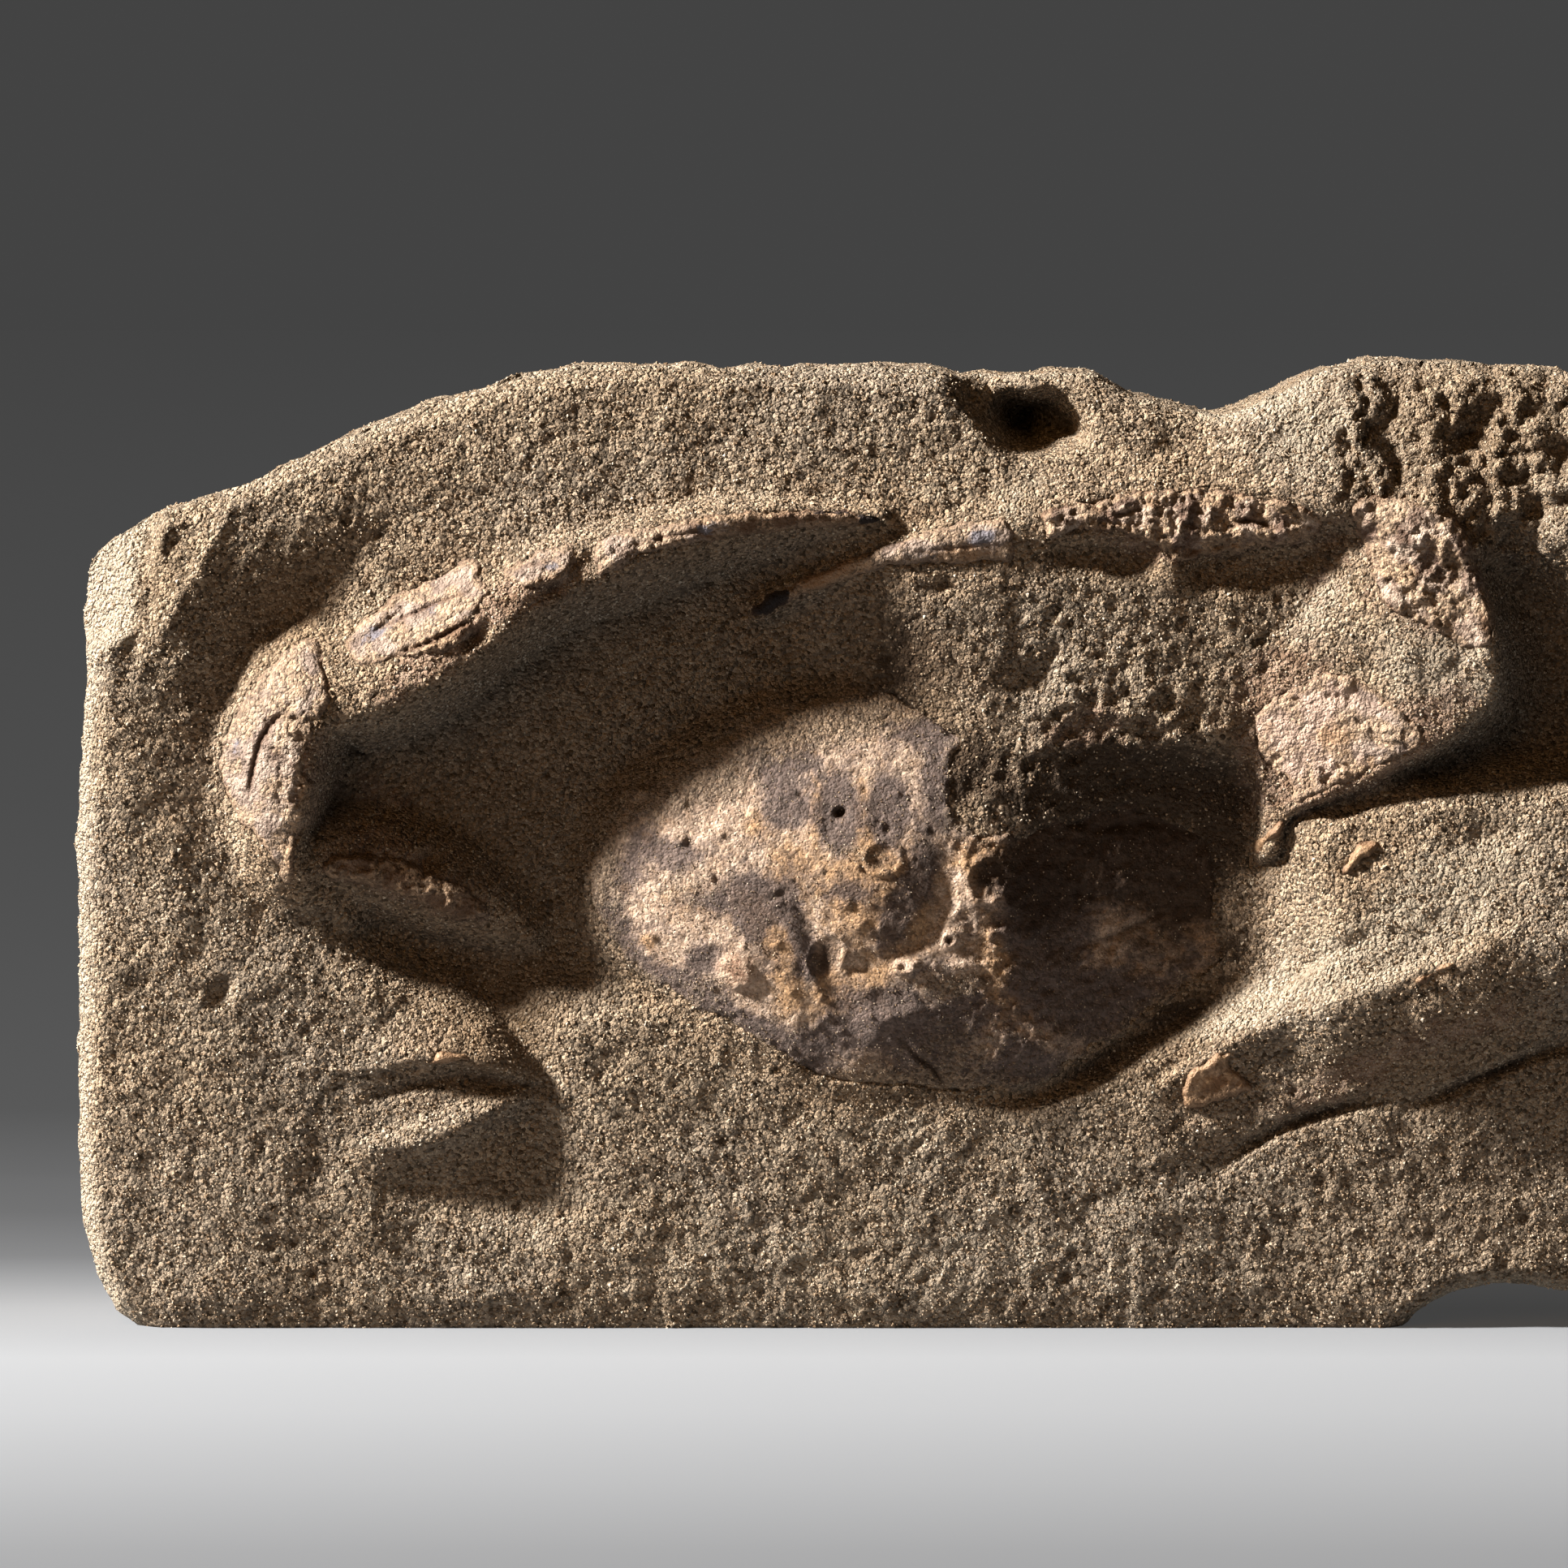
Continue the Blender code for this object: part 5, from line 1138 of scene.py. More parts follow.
# %% The surface of a patch
def claw_top(proud, broken, seed):
    """A surface that stands proud by some height, of which a share is broken and knobbly."""
    def top(x, z, away):
        stone, dome = ground(x, z)
        places = in_plane(x, z)
        rise = ease((away + 0.3 * rough(places, 1.8, seed + 5, sizes=2)) / 0.9)
        h = stone - 0.35 + (proud + 0.35) * rise
        h += 0.2 * rough(places, 4.5, seed, sizes=3, falls=0.7) + 0.1 * rough(places, 1.4, seed + 1, sizes=2)
        crust = 0.35 * (0.42 - knobs(x, z, 1.2, seed + 2))
        crust += 0.5 * rough(places, 2.8, seed + 3, sizes=4, falls=0.85)
        crust += 1.1 * max(broken - 0.6, 0) * rough(places, 1.7, seed + 6, sizes=2, falls=0.8)
        patchy = broken + lumps(x, z, BROKEN_PLACES) + 0.7 * (broken > 0) * hills(places, 5.0, seed + 4)
        return cracks(x, z, CLAW_CRACKS, h + np.clip(patchy, 0, 1) * crust)

    return top


# %% The patches on claws and legs
CLAW_PATCHES = [
    # name, the part's piece, slot, proud, broken, seed
    ("left_wrist", "left_claw_wrist", "claw_shell", 0.35, 0.15, 110),
    ("left_palm", "left_claw_palm", "claw_shell", 0.5, 0.1, 120),
    ("left_palm_end", "left_claw_palm_end", "claw_shell", 0.5, 0.7, 130),
    ("left_finger", "left_claw_finger", "claw_shell", 0.55, 0.2, 140),
    ("left_arm", "left_claw_arm", "claw_shell", 0.9, 1.0, 150),
    ("right_finger", "right_claw_finger", "claw_shell", 0.5, 0.0, 160),
    ("right_palm", "right_claw_palm", "broken_shell", 0.7, 1.0, 170),
    ("right_wrist", "right_claw_wrist", "broken_shell", 0.35, 0.6, 180),
    ("right_arm", "right_claw_arm", "claw_shell", 0.3, 0.15, 190),
    ("right_base_flake", "right_claw_base_flake", "leg_shell", 0.9, 0.0, 200),
    ("front_leg_flake", "right_front_leg_shell", "leg_shell", 0.9, 0.0, 210),
    ("rear_leg_shell", "right_rear_leg_shell", "leg_shell", 0.7, 0.0, 220),
    ("rear_leg_sliver", "right_rear_leg_sliver", "leg_shell", 0.7, 0.0, 230),
    ("left_leg_flake", "left_leg_shell", "leg_shell", 0.7, 0.0, 240),
]
patches = {}
for name, node, slot, proud, broken, seed in CLAW_PATCHES:
    patches[name] = plate(name, claw_top(proud, broken, seed), seed)

# %% [markdown]
# ## Loose grains
# Close to, the stone is a wall of grains as wide as a pencil lead, and the low light gives each its
# own shadow. Geometry Nodes strew them: points on the faces, as dense as an attribute says, and on
# each point a small eight-sided crystal, turned and sized by chance and sunk halfway in.

# %% Helpers for node trees
def put(tree, socket, value):
    """Links a socket to another, or gives it a plain value."""
    if isinstance(value, bpy.types.NodeSocket):
        tree.links.new(value, socket)
    else:
        socket.default_value = value


def fill(tree, node, **values):
    """Puts values into a node's sockets by name, with underscores for spaces."""
    for name, value in values.items():
        put(tree, node.inputs[name.replace("_", " ")], value)
    return node


def add(tree, kind, data_type=None, **values):
    node = tree.nodes.new(kind)
    if data_type:
        node.data_type = data_type
    return fill(tree, node, **values)


def number(tree, operation, a, b=0.0, c=0.0):
    node = tree.nodes.new("ShaderNodeMath")
    node.operation = operation
    for socket, value in zip(node.inputs, (a, b, c)):
        put(tree, socket, value)
    return node.outputs[0]


def new_tree(name, kind, inputs, outputs):
    """A group of nodes, from rows of name, kind of socket and first value."""
    tree = bpy.data.node_groups.new(name, kind)
    for label, socket, value in inputs:
        made = tree.interface.new_socket(label, in_out="INPUT", socket_type="NodeSocket" + socket)
        if value is not None:
            made.default_value = value
    for label, socket in outputs:
        tree.interface.new_socket(label, in_out="OUTPUT", socket_type="NodeSocket" + socket)
    return tree, tree.nodes.new("NodeGroupInput").outputs, tree.nodes.new("NodeGroupOutput").inputs


# %% A tree of nodes that strews grains on a surface
FULL_TURN = (6.283, 6.283, 6.283)


def grain_tree(material):
    tree, given, out = new_tree("strewn grains", "GeometryNodeTree", [
        ("Geometry", "Geometry", None), ("Most per square metre", "Float", 1.5e6),
        ("Smallest", "Float", 0.00018), ("Largest", "Float", 0.0004), ("Seed", "Int", 1),
    ], [("Geometry", "Geometry")])
    grit = add(tree, "GeometryNodeInputNamedAttribute", "FLOAT", Name="grit").outputs["Attribute"]
    strewn = add(
        tree, "GeometryNodeDistributePointsOnFaces", Mesh=given["Geometry"], Seed=given["Seed"],
        Density=number(tree, "MULTIPLY", grit, given["Most per square metre"]),
    )
    grain = add(tree, "GeometryNodeMeshUVSphere", Radius=1.0, Segments=4, Rings=2)
    size = add(tree, "FunctionNodeRandomValue", "FLOAT_VECTOR", Min=given["Smallest"], Max=given["Largest"])
    turn = add(tree, "FunctionNodeRandomValue", "FLOAT_VECTOR", Max=FULL_TURN)
    placed = add(
        tree, "GeometryNodeInstanceOnPoints", Points=strewn.outputs["Points"], Instance=grain.outputs["Mesh"],
        Rotation=turn.outputs["Value"], Scale=size.outputs["Value"],
    )
    tone = add(tree, "FunctionNodeRandomValue", "FLOAT", Seed=3).outputs[1]
    kept = add(tree, "GeometryNodeStoreNamedAttribute", "FLOAT", Name="tone", Value=tone)
    kept.domain = "INSTANCE"
    real = tree.nodes.new("GeometryNodeRealizeInstances")
    flat = add(tree, "GeometryNodeSetShadeSmooth", Shade_Smooth=False)
    dressed = add(tree, "GeometryNodeSetMaterial", Material=material)
    chain = [placed.outputs["Instances"]]
    for node in (kept, real, flat, dressed):
        put(tree, node.inputs["Geometry"], chain[-1])
        chain.append(node.outputs["Geometry"])
    put(tree, out["Geometry"], chain[-1])
    return tree


def strew(name, surface, tree, **wanted):
    """Grains on a surface, as a plain mesh of their own."""
    carrier = surface.copy()
    carrier.data = surface.data.copy()
    bpy.context.scene.collection.objects.link(carrier)
    modifier = carrier.modifiers.new("grains", "NODES")
    modifier.node_group = tree
    sockets = {s.name: s.identifier for s in tree.interface.items_tree if s.in_out == "INPUT"}
    for label, value in wanted.items():
        modifier[sockets[label.replace("_", " ")]] = value
    shown = carrier.evaluated_get(bpy.context.evaluated_depsgraph_get())
    mesh = bpy.data.meshes.new_from_object(shown)
    carrier.modifiers.clear()
    bpy.data.objects.remove(carrier)
    mesh.name = name
    return placed_mesh(name, mesh)


# %% [markdown]
# ## Colour that follows the forms
# Some colour belongs to a place: the shell bleeds a warm stain into the sandstone, dark blue-grey
# clouds lie in rows across the body, sand dusts the edges of the shell. Some is painted light and
# shade instead: the low spots of the crumbly stone, its shadowed hollows and creases and the
# shadowed right of the body are painted darker, and lit slopes and rims paler. Numbers kept on the
# points say how much of each there is, and the materials break their soft edges up with noise. So a
# blotch sits where it should, and still looks grown.

# %% Numbers on the points of the stone
def paint(piece, name, values):
    """Keeps a number from 0 to 1 on each point. A plate has the same on its top and its underside."""
    layer = piece.data.attributes.new(name, "FLOAT", "POINT")
    values = np.resize(np.clip(values, 0, 1), len(piece.data.vertices))
    layer.data.foreach_set("value", values.astype(np.float32))


LIMB_STAINS = [
    (67, 99, 8, 9, 0.9), (51, 82, 9, 7, 1, -30), (56, 73, 11, 6, 1, 25), (65, 77, 8, 4, 0.8, 30),
    (54, 95, 3, 7, 0.5, -20), (40, 103, 18, 3.5, 0.8), (72, 84, 6, 6, 0.4), (-76, 74, 4, 9, 0.7, 10),
    (-62, 58, 12, 4, 0.9, -25), (-58, 88, 14, 3.2, 0.9, 36), (-45, 96.5, 7, 3, 0.7, 20),
    (25, 77, 20, 9, 0.45), (24.5, 78, 4.5, 2.2, 0.6), (-66, 68, 7, 9, 0.5), (46, 71, 4, 9, 0.4),
    (58, 33, 16, 5, 0.6, 30), (78, 41, 12, 5, 0.5, 25), (35, 101, 6, 3, 0.6),
]
# Paler stone: partly pale dust, partly painted highlight on slopes, crests and rims that face the raking
# lamp, and painted light on the foot of the face.
PALE_AND_HIGHLIGHT_PLACES = [
    (52, 116, 8, 6, 0.9, -35), (64, 88, 7, 6, 0.6), (73, 85, 6, 7, 0.8), (54, 94, 3, 6, 0.9, -25),
    (72, 60, 12, 6, 0.6, 25), (64, 51, 16, 5, 1.2, 24), (44, 41, 9, 2.4, 0.8, 25), (-10, 10, 95, 15, 0.45),
    (-85, 62, 6, 12, 0.35), (16, 105, 5, 3, 0.5), (-62, 85, 9, 2.5, 0.4, 20), (-68, 94, 10, 3, 0.5, 35),
    (-30, 30, 18, 6, 0.3, 20), (0, 25, 20, 4, 0.35), (4, 108, 22, 2.5, 0.4, 5), (-25, 108.5, 22, 2, 0.4),
]
# Browner stone, partly the stone's own colour and partly painted shade in the shadowed troughs, hollows and
# valleys, and on the ledge where the claw's shadow ends.
BROWN_AND_SHADE_PLACES = [
    (-52, 66, 20, 14, 0.8, 10), (-38, 88, 22, 9, 0.7, 18), (-79, 92, 7, 9, 0.9, -45),
    (-95, 96, 3.5, 8, 0.5, -20), (-55, 42, 8, 7, 0.9, -40), (-45, 48, 5, 9, 0.8, -20),
    (-50, 35, 6, 6, 0.9, -30), (-50, 20, 10, 5, 0.5), (83, 88, 6, 14, 0.9), (28, 99, 8, 3, 0.6),
    (46, 97, 9, 3, 0.7), (38, 40, 9, 5, 0.5, 35), (66, 34, 20, 6, 0.5, 18), (70, 14, 28, 12, 0.5, 10),
    (2, 86, 9, 10, 0.8), (74, 115, 14, 7, 0.5),
]
# Painted shade and shadow on the stone: the crust beside the body's shadowed right, the wedge of shadow under
# the body's lower right edge, the ledge where the left claw's shadow ends, and thin lines in the grooves
# under the rear leg.
SHADE_PAINTED_ON_STONE = [
    (28, 70, 18, 8, 1.15, 3), (9, 73, 5, 4.5, 0.8), (42, 62, 4, 9, 0.8), (36, 40.5, 8, 2.4, 0.8, 28),
    (26, 34, 6, 2, 0.7, 25), (44, 49, 3, 5, 0.6, -30), (1.5, 86, 7, 10, 0.8, -10),
    (54, 27.6, 6, 0.7, 0.8, 18), (77, 33.4, 8, 0.7, 0.8, 22),
]
STAIN_REACH, STAIN_REACH_OF_BODY = 6.0, 3.0
px, _, pz = points.T
on_face = np.zeros(len(points))
on_face[: len(face_places)] = 1
stain = np.zeros(len(points))
for name, outline in OUTLINES.items():
    reach = STAIN_REACH_OF_BODY if name == "body_shell" else STAIN_REACH
    away, _ = depth_inside(smooth_loop(outline), px, pz, 4 * reach)
    stain = np.maximum(stain, on_face * np.exp(np.clip(away, -60, 0) / reach))
rim_away = from_rim(px, pz)
# Painted highlight: the bevelled corner, the left rim and the whole rim, which catch the raking lamp, are
# made paler.
pale = lumps(px, pz, PALE_AND_HIGHLIGHT_PLACES)
pale += 1.6 * ease((7.2 - rim_away) / 1.5) * ease((pz - 86) / 5) * ease((-96 - px) / 2.5)
worn_and_highlit_rim = 0.8 * np.clip(1 - rim_away / 3.5, 0, 1) * ease((-96 - px) / 4)
pale += 0.6 * np.clip(1 - rim_away / 1.5, 0, 1) + worn_and_highlit_rim
# Painted shade: the low spots of the crumbs are darkened.
low = np.zeros(len(points))
low[: len(face_places)] = -crumbs(*face_places.T) / 0.7
deep = np.clip(on_face * lumps(px, pz, SHADE_PAINTED_ON_STONE), 0, 1)
grit = 0.12 + 0.88 * on_face * (1 - 0.6 * np.maximum(on_bevel(px, pz), np.clip(1 - rim_away / 2.5, 0, 1)))
for name, values in {
    "stain": stain,
    "limb": on_face * lumps(px, pz, LIMB_STAINS),
    "pale": on_face * pale,
    "brown": on_face * lumps(px, pz, BROWN_AND_SHADE_PLACES),
    "low": low,
    "deep": deep,
    # fewer loose grains where shade is painted
    "grit": grit * (1 - 0.75 * deep),
}.items():
    paint(block, name, values)
print("most stain:", stain.max().round(2), "mean grit:", grit.mean().round(2))

# %% Clouds, ochre, dust and painted shade of the body shell
CLOUDS = [
    (-13.4, 67.6, 2.8, 2.8, 0.9), (-7.4, 66.5, 2.4, 4.2, 1.1), (-0.9, 67.4, 2.6, 4.5, 1),
    (-14, 72.6, 5.2, 2.8, 0.6, 10), (-33, 63, 2, 2, 0.5), (-28.5, 61.6, 3, 2.2, 0.6),
    (-34, 59.3, 2.5, 2.8, 0.5), (-17, 55.6, 5, 3.8, 0.8, -20), (-18.6, 54, 1.5, 3.2, 0.6, 10),
    (-31.5, 45.6, 5.2, 2.2, 0.8, -30), (-28, 43.6, 2.2, 2.2, 0.7), (-35.5, 50, 2.5, 3.8, 0.45),
    (-19.5, 39.2, 3.8, 1.9, 0.9, -15), (-25, 48, 3, 3, 0.45), (-2, 40.6, 6.2, 4.2, 0.8),
    (-23, 42, 3.8, 2.5, 0.5, -20), (-11, 36, 4, 3.8, 0.7), (-12.2, 50, 1.5, 5, 0.6, 12),
    (6, 70.5, 2.8, 5.6, 0.7), (3.5, 77.5, 5.6, 2.5, 0.6), (0, 54, 1.8, 5, 0.7, -15),
    (3.5, 59, 2, 5, 0.6, -15), (19, 54, 6.2, 6.2, 0.8), (-24, 55.5, 3.8, 2, 0.35), (8, 41, 5, 3, 0.6),
    (20, 44, 7.5, 5, 0.6), (-6, 57.2, 3.2, 1.8, 0.5), (-37, 55, 2, 3.8, 0.35), (3, 35, 5, 3.8, 0.5),
    (30, 42, 8.8, 5, 0.5, 35), (15, 34, 6.2, 3.8, 0.6, 10),
]
# Dark brown on the body: partly the shell's own dark colour, partly painted shade over the right half, which
# falls away from the lamp, and in a pit.
DARK_SHELL_AND_SHADE = [
    (27, 62, 15, 8, 1.2, 4), (37, 62, 8, 7, 0.9), (18, 56, 5, 8, 0.6), (12, 69, 5, 4, 0.8),
    (40, 57, 6, 6, 0.6), (34, 49, 10, 6, 0.45, 30), (-9, 48.4, 1.6, 2.4, 0.8, -20), (-11, 35, 3, 3, 0.4),
    (11.5, 59, 1.8, 2.4, 0.5, -20), (22, 38, 8, 5, 0.4, 20), (4, 62, 2, 5, 0.4, -10),
]
OCHRE = [
    (-4, 57, 6.9, 6.9, 1, -20), (2.5, 56, 3.1, 7.5, 0.5, -10), (-18.2, 65.6, 2.2, 2, 0.7),
    (-14, 60.4, 2.8, 3.8, 0.7), (-19, 55.5, 3, 2, 0.6, -45), (-15.8, 50.4, 2.8, 5.2, 0.9, 32),
    (-13.8, 44, 2, 4.2, 0.8, 5), (-10.4, 67, 1.1, 4.5, 0.8), (-4.3, 67, 1.2, 5.5, 0.8),
    (-8, 43.6, 3, 3.8, 0.9, -20), (-3, 45, 2.8, 3.2, 0.7), (-31.8, 50.3, 1.1, 1.1, 1),
    (-35.2, 48.8, 0.6, 0.6, 0.9), (-32, 63.6, 0.9, 0.9, 0.9), (-35, 57, 1.2, 1, 0.6), (-27, 55, 5, 3, 0.4),
    (11, 61, 3.8, 3, 1), (13, 48, 2.8, 7.5, 0.8, 8), (15, 41, 5, 3.8, 0.5), (1.5, 51, 2.5, 2.5, 0.5),
    (28.3, 62, 0.9, 0.6, 0.9), (38.8, 61, 0.8, 0.6, 0.8), (42, 59.4, 3, 3.8, 0.5),
    (2, 80, 7.5, 3.8, 0.5, 15), (10, 84, 3.8, 3.8, 0.6), (36, 52, 6.2, 3.8, 0.4, 20),
    (-2, 36, 6.2, 3.8, 0.35),
]
DUSTY = [
    (-10, 78, 18, 4, 0.9, 12), (-37.5, 60, 2.5, 12, 0.6, 8), (-30, 69, 6, 3.4, 0.6, 30),
    (-2, 31.5, 16, 2.6, 0.9), (-27, 57, 6, 4, 0.45), (-22, 70, 5, 3, 0.6, 20), (36, 43, 9, 4, 0.45, 30),
    (-34, 43.5, 6, 2, 0.6, -35), (9, 68, 3, 6, 0.4), (8, 45, 5, 2.2, 0.8), (44, 50, 4, 7, 0.6),
    (-24, 44.5, 4, 2, 0.4, -20), (-5.5, 62, 5, 1.4, 0.6, -20), (8, 37, 8, 4, 0.5), (28, 33, 8, 3, 0.5, 30),
]
WHITE_SCAR = [(-20.5, 46.4, 2.8, 2.1, 1.2, -25, 2)]


def bare_below(values):
    """Numbers for the top of a plate, with none on its underside."""
    return np.append(values, np.zeros(len(values)))


deep = lumps(body_x, body_z, DARK_SHELL_AND_SHADE)
dusty = 0.05 + 0.8 * lumps(body_x, body_z, DUSTY) + 1.0 * np.exp(-body_away / 1.6)
# Less dust veil where shade is painted, so no light line shows there.
dusty *= 1 - 0.85 * np.clip(1.3 * deep, 0, 1)
for name, values in {
    "cloud": 0.22 + 0.35 * hills(in_plane(body_x, body_z), 5, 302) + 1.5 * lumps(body_x, body_z, CLOUDS),
    "deep": deep,
    "ochre": 0.12 + lumps(body_x, body_z, OCHRE),
    "dust": dusty,
    "bone": lumps(body_x, body_z, WHITE_SCAR),
    # painted shade in the cracks and pits
    "painted_crease_shade": -1.4 * cracks(body_x, body_z, BODY_CRACKS, lumps(body_x, body_z, PITS)),
    "grit": bare_below(np.clip(0.12 + 0.6 * dusty, 0, 1)),
}.items():
    paint(body, name, values)
print("mean dust on the body shell:", dusty.mean().round(2))

# %% Bruises, amber, black tips, painted highlight and shade of the claws
BRUISES = [
    (-66, 90.5, 3.5, 1.3, 0.7, 30), (-58.5, 93.5, 3, 1.2, 0.55, 25), (-84.5, 76, 1.2, 3.5, 0.5),
    (-80, 84, 1.2, 3, 0.4, -35), (-44, 98.8, 1.2, 0.8, 0.8, 10), (-23.5, 103.5, 2.6, 1.2, 1, 10),
    (10.5, 102.3, 2.6, 1.1, 1.1, 10), (2.6, 99.3, 3.4, 0.8, 0.9, 8), (-65, 88.5, 3, 1.2, 0.35, 20),
    (-58, 91, 3, 1, 0.3, 20),
]
BLACK_TIPS = [
    (-1.8, 104.4, 3.2, 1.6, 1.3, 0, 2), (-16.4, 93.4, 3.2, 1.6, 1.4, 35, 2), (-8, 105.6, 6, 0.5, 0.7),
]
AMBER = [
    (-13, 103.8, 13, 3, 2, 0, 2), (33, 106.6, 1.6, 1, 1), (38, 100.2, 4, 0.8, 0.9), (46, 105, 3, 1, 0.6),
    (42.5, 31, 4.5, 1.7, 1, 15), (75, 92, 1.5, 4, 0.8, 20), (65, 98, 3, 2, 0.6, -30),
    (66, 90.5, 2, 1.2, 0.8, -40), (-75.4, 61, 3, 3.4, 0.9, 0, 2), (-63, 57.5, 15, 5, 1, -20),
    (-57.5, 89.6, 5.5, 1.6, 1, 36), (-45, 96.4, 4, 1.4, 0.8, 25),
]
LIGHT_OCHRE = [
    (-9, 97, 8, 2.4, 1, 22), (8, 100, 6, 1.2, 0.9, 5), (56, 77, 4, 3, 0.7, 20), (60, 73, 4, 2, 0.6, 20),
    (48, 78, 3, 3, 0.4), (-82, 68, 1.5, 4, 0.4), (-76, 70, 2, 5, 0.6, 10),
]
# Rosy cream on the right arm: partly the shell's pink, partly painted highlight on the arm's lit slope.
ROSY_AND_HIGHLIGHT = [(50, 79, 12, 15, 1, -20)]
DUSTY_SHELL = [(41, 34.6, 2.2, 1.3, 1, 25, 2), (-77, 84, 4, 4, 0.5), (-76.5, 69, 3, 4, 0.4)]
SPOTS = {"bruise": BRUISES, "black": BLACK_TIPS, "rosy": ROSY_AND_HIGHLIGHT, "amber": AMBER, "ochre": LIGHT_OCHRE}
for piece, x, z, away in patches.values():
    for name, rows in SPOTS.items():
        paint(piece, name, lumps(x, z, rows))
    # Painted shade along the plate's edge, where it meets the stone, and in the cracks.
    paint(piece, "painted_crease_shade", np.exp(-away / 0.45) - 1.6 * cracks(x, z, CLAW_CRACKS))
    dusty = 0.4 + 0.8 * hills(in_plane(x, z), 4, 301) + 1.2 * np.exp(-away / 0.6) + lumps(x, z, DUSTY_SHELL)
    paint(piece, "dust", dusty)
    raw = np.clip(lumps(x, z, BROKEN_PLACES) + 0.3 * hills(in_plane(x, z), 3, 303), 0, 1)
    paint(piece, "raw", raw)
    paint(piece, "grit", bare_below(np.clip(0.2 + 0.5 * dusty + 0.4 * raw, 0, 1)))
print(len(SPOTS) + 4, "numbers on each of", len(patches), "pieces")

# %% [markdown]
# ## Effects that several materials share
# Sand shows in the stone, in the strewn grains and in the dust on the shell, so it is a node group:
# cells as wide as a grain, each a little lighter or darker, with a height for the Bump node. A
# second group turns a soft painted number into a patch with a torn edge.

# %% Colours, soft steps and noise, and the two groups
def blend_colour(tree, amount, a, b, mode="MIX"):
    node = tree.nodes.new("ShaderNodeMix")
    node.data_type = "RGBA"
    node.blend_type = mode
    node.clamp_factor = True
    for index, value in ((0, amount), (6, a), (7, b)):
        put(tree, node.inputs[index], (*value, 1.0) if isinstance(value, tuple) else value)
    return node.outputs[2]


def between_two(tree, value, low, high):
    """0 below low, 1 above high, soft in between."""
    node = tree.nodes.new("ShaderNodeMapRange")
    node.interpolation_type = "SMOOTHSTEP"
    return fill(tree, node, Value=value, From_Min=low, From_Max=high).outputs["Result"]


def mottled(tree, value, low, high, a, b):
    """Two colours, the second where the value is high."""
    return blend_colour(tree, between_two(tree, value, low, high), a, b)


def texture(tree, kind, size_mm, **values):
    """A texture over Object coordinates, whose features are about size_mm wide."""
    where = tree.nodes.new("ShaderNodeTexCoord").outputs["Object"]
    return add(tree, kind, Vector=where, Scale=number(tree, "DIVIDE", 1000.0, size_mm), **values)


def noise(tree, size_mm, detail, roughness=0.5):
    return texture(tree, "ShaderNodeTexNoise", size_mm, Detail=detail, Roughness=roughness).outputs["Fac"]


def group(name, inputs, outputs):
    rows = [(label, "Float", value) for label, value in inputs.items()]
    return new_tree(name, "ShaderNodeTree", rows, [(label, "Float") for label in outputs])


sand, given, out = group("sand grains", {"Grain size": 0.45}, ["Light", "Odd grain", "Height"])
cells = texture(sand, "ShaderNodeTexVoronoi", given["Grain size"], Randomness=1.0).outputs
shade = add(sand, "ShaderNodeSeparateColor", Color=cells["Color"]).outputs
lump = noise(sand, number(sand, "MULTIPLY", given["Grain size"], 2.6), 4.0, 0.7)
dome = number(sand, "SUBTRACT", 1.0, number(sand, "POWER", cells["Distance"], 2.0))
put(sand, out["Light"], shade["Red"])
put(sand, out["Odd grain"], between_two(sand, shade["Green"], 0.9, 0.93))
put(sand, out["Height"], number(sand, "MULTIPLY_ADD", lump, 3.6, dome))

torn, given, out = group("torn patch", {"Amount": 0.5, "Size": 3.0, "Softness": 0.2}, ["Mask"])
stretched = number(torn, "MULTIPLY_ADD", noise(torn, given["Size"], 5.0, 0.65), 2.2, -0.6)
summed = number(torn, "ADD", stretched, number(torn, "MULTIPLY_ADD", given["Amount"], 1.6, -0.8))
ends = [number(torn, operation, 0.5, given["Softness"]) for operation in ("SUBTRACT", "ADD")]
put(torn, out["Mask"], between_two(torn, summed, *ends))
print("groups:", [g.name for g in bpy.data.node_groups if g.type == "SHADER"])

# %% Starting a material, laying colours over one another, and finishing it
def start_material(name, roughness, shine=0.3):
    made = bpy.data.materials.new(name)
    made.use_nodes = True
    tree = made.node_tree
    surface = fill(tree, tree.nodes["Principled BSDF"], Roughness=roughness, Specular_IOR_Level=shine)
    return made, tree, surface


def placed_group(tree, of, **values):
    node = tree.nodes.new("ShaderNodeGroup")
    node.node_tree = of
    return fill(tree, node, **values)


def painted(tree, name):
    node = tree.nodes.new("ShaderNodeAttribute")
    node.attribute_name = name
    return node.outputs["Fac"]


def patch_of(tree, name, size, softness):
    """A torn patch where a number was painted on the points."""
    return placed_group(tree, torn, Amount=painted(tree, name), Size=size, Softness=softness).outputs["Mask"]


def layered(tree, colour, layers):
    """Lays colours over one another: the painted number, size and softness of its patch, share, colour."""
    for name, size, softness, share, tint in layers:
        amount = patch_of(tree, name, size, softness) if size else painted(tree, name)
        colour = blend_colour(tree, number(tree, "MULTIPLY", amount, share), colour, tint)
    return colour


def finish_surface(tree, surface, colour, height, distance):
    bump = add(tree, "ShaderNodeBump", Strength=1.0, Distance=distance, Height=height)
    fill(tree, surface, Base_Color=colour, Normal=bump.outputs["Normal"])


def colour_ramp(tree, value, stops):
    node = add(tree, "ShaderNodeValToRGB", Fac=value)
    while len(node.color_ramp.elements) < len(stops):
        node.color_ramp.elements.new(0.5)
    for stop, (at, colour) in zip(node.color_ramp.elements, stops):
        stop.position = at
        stop.color = (*colour, 1)
    return node.outputs["Color"]


# %% [markdown]
# ## Sandstone
# Buff sand with a little iron: mostly tan, greyer in patches and rustier round the shell. Single
# grains are lighter quartz or dark minerals. The finest relief is only a bump, because at half a
# millimetre it would need millions of faces.

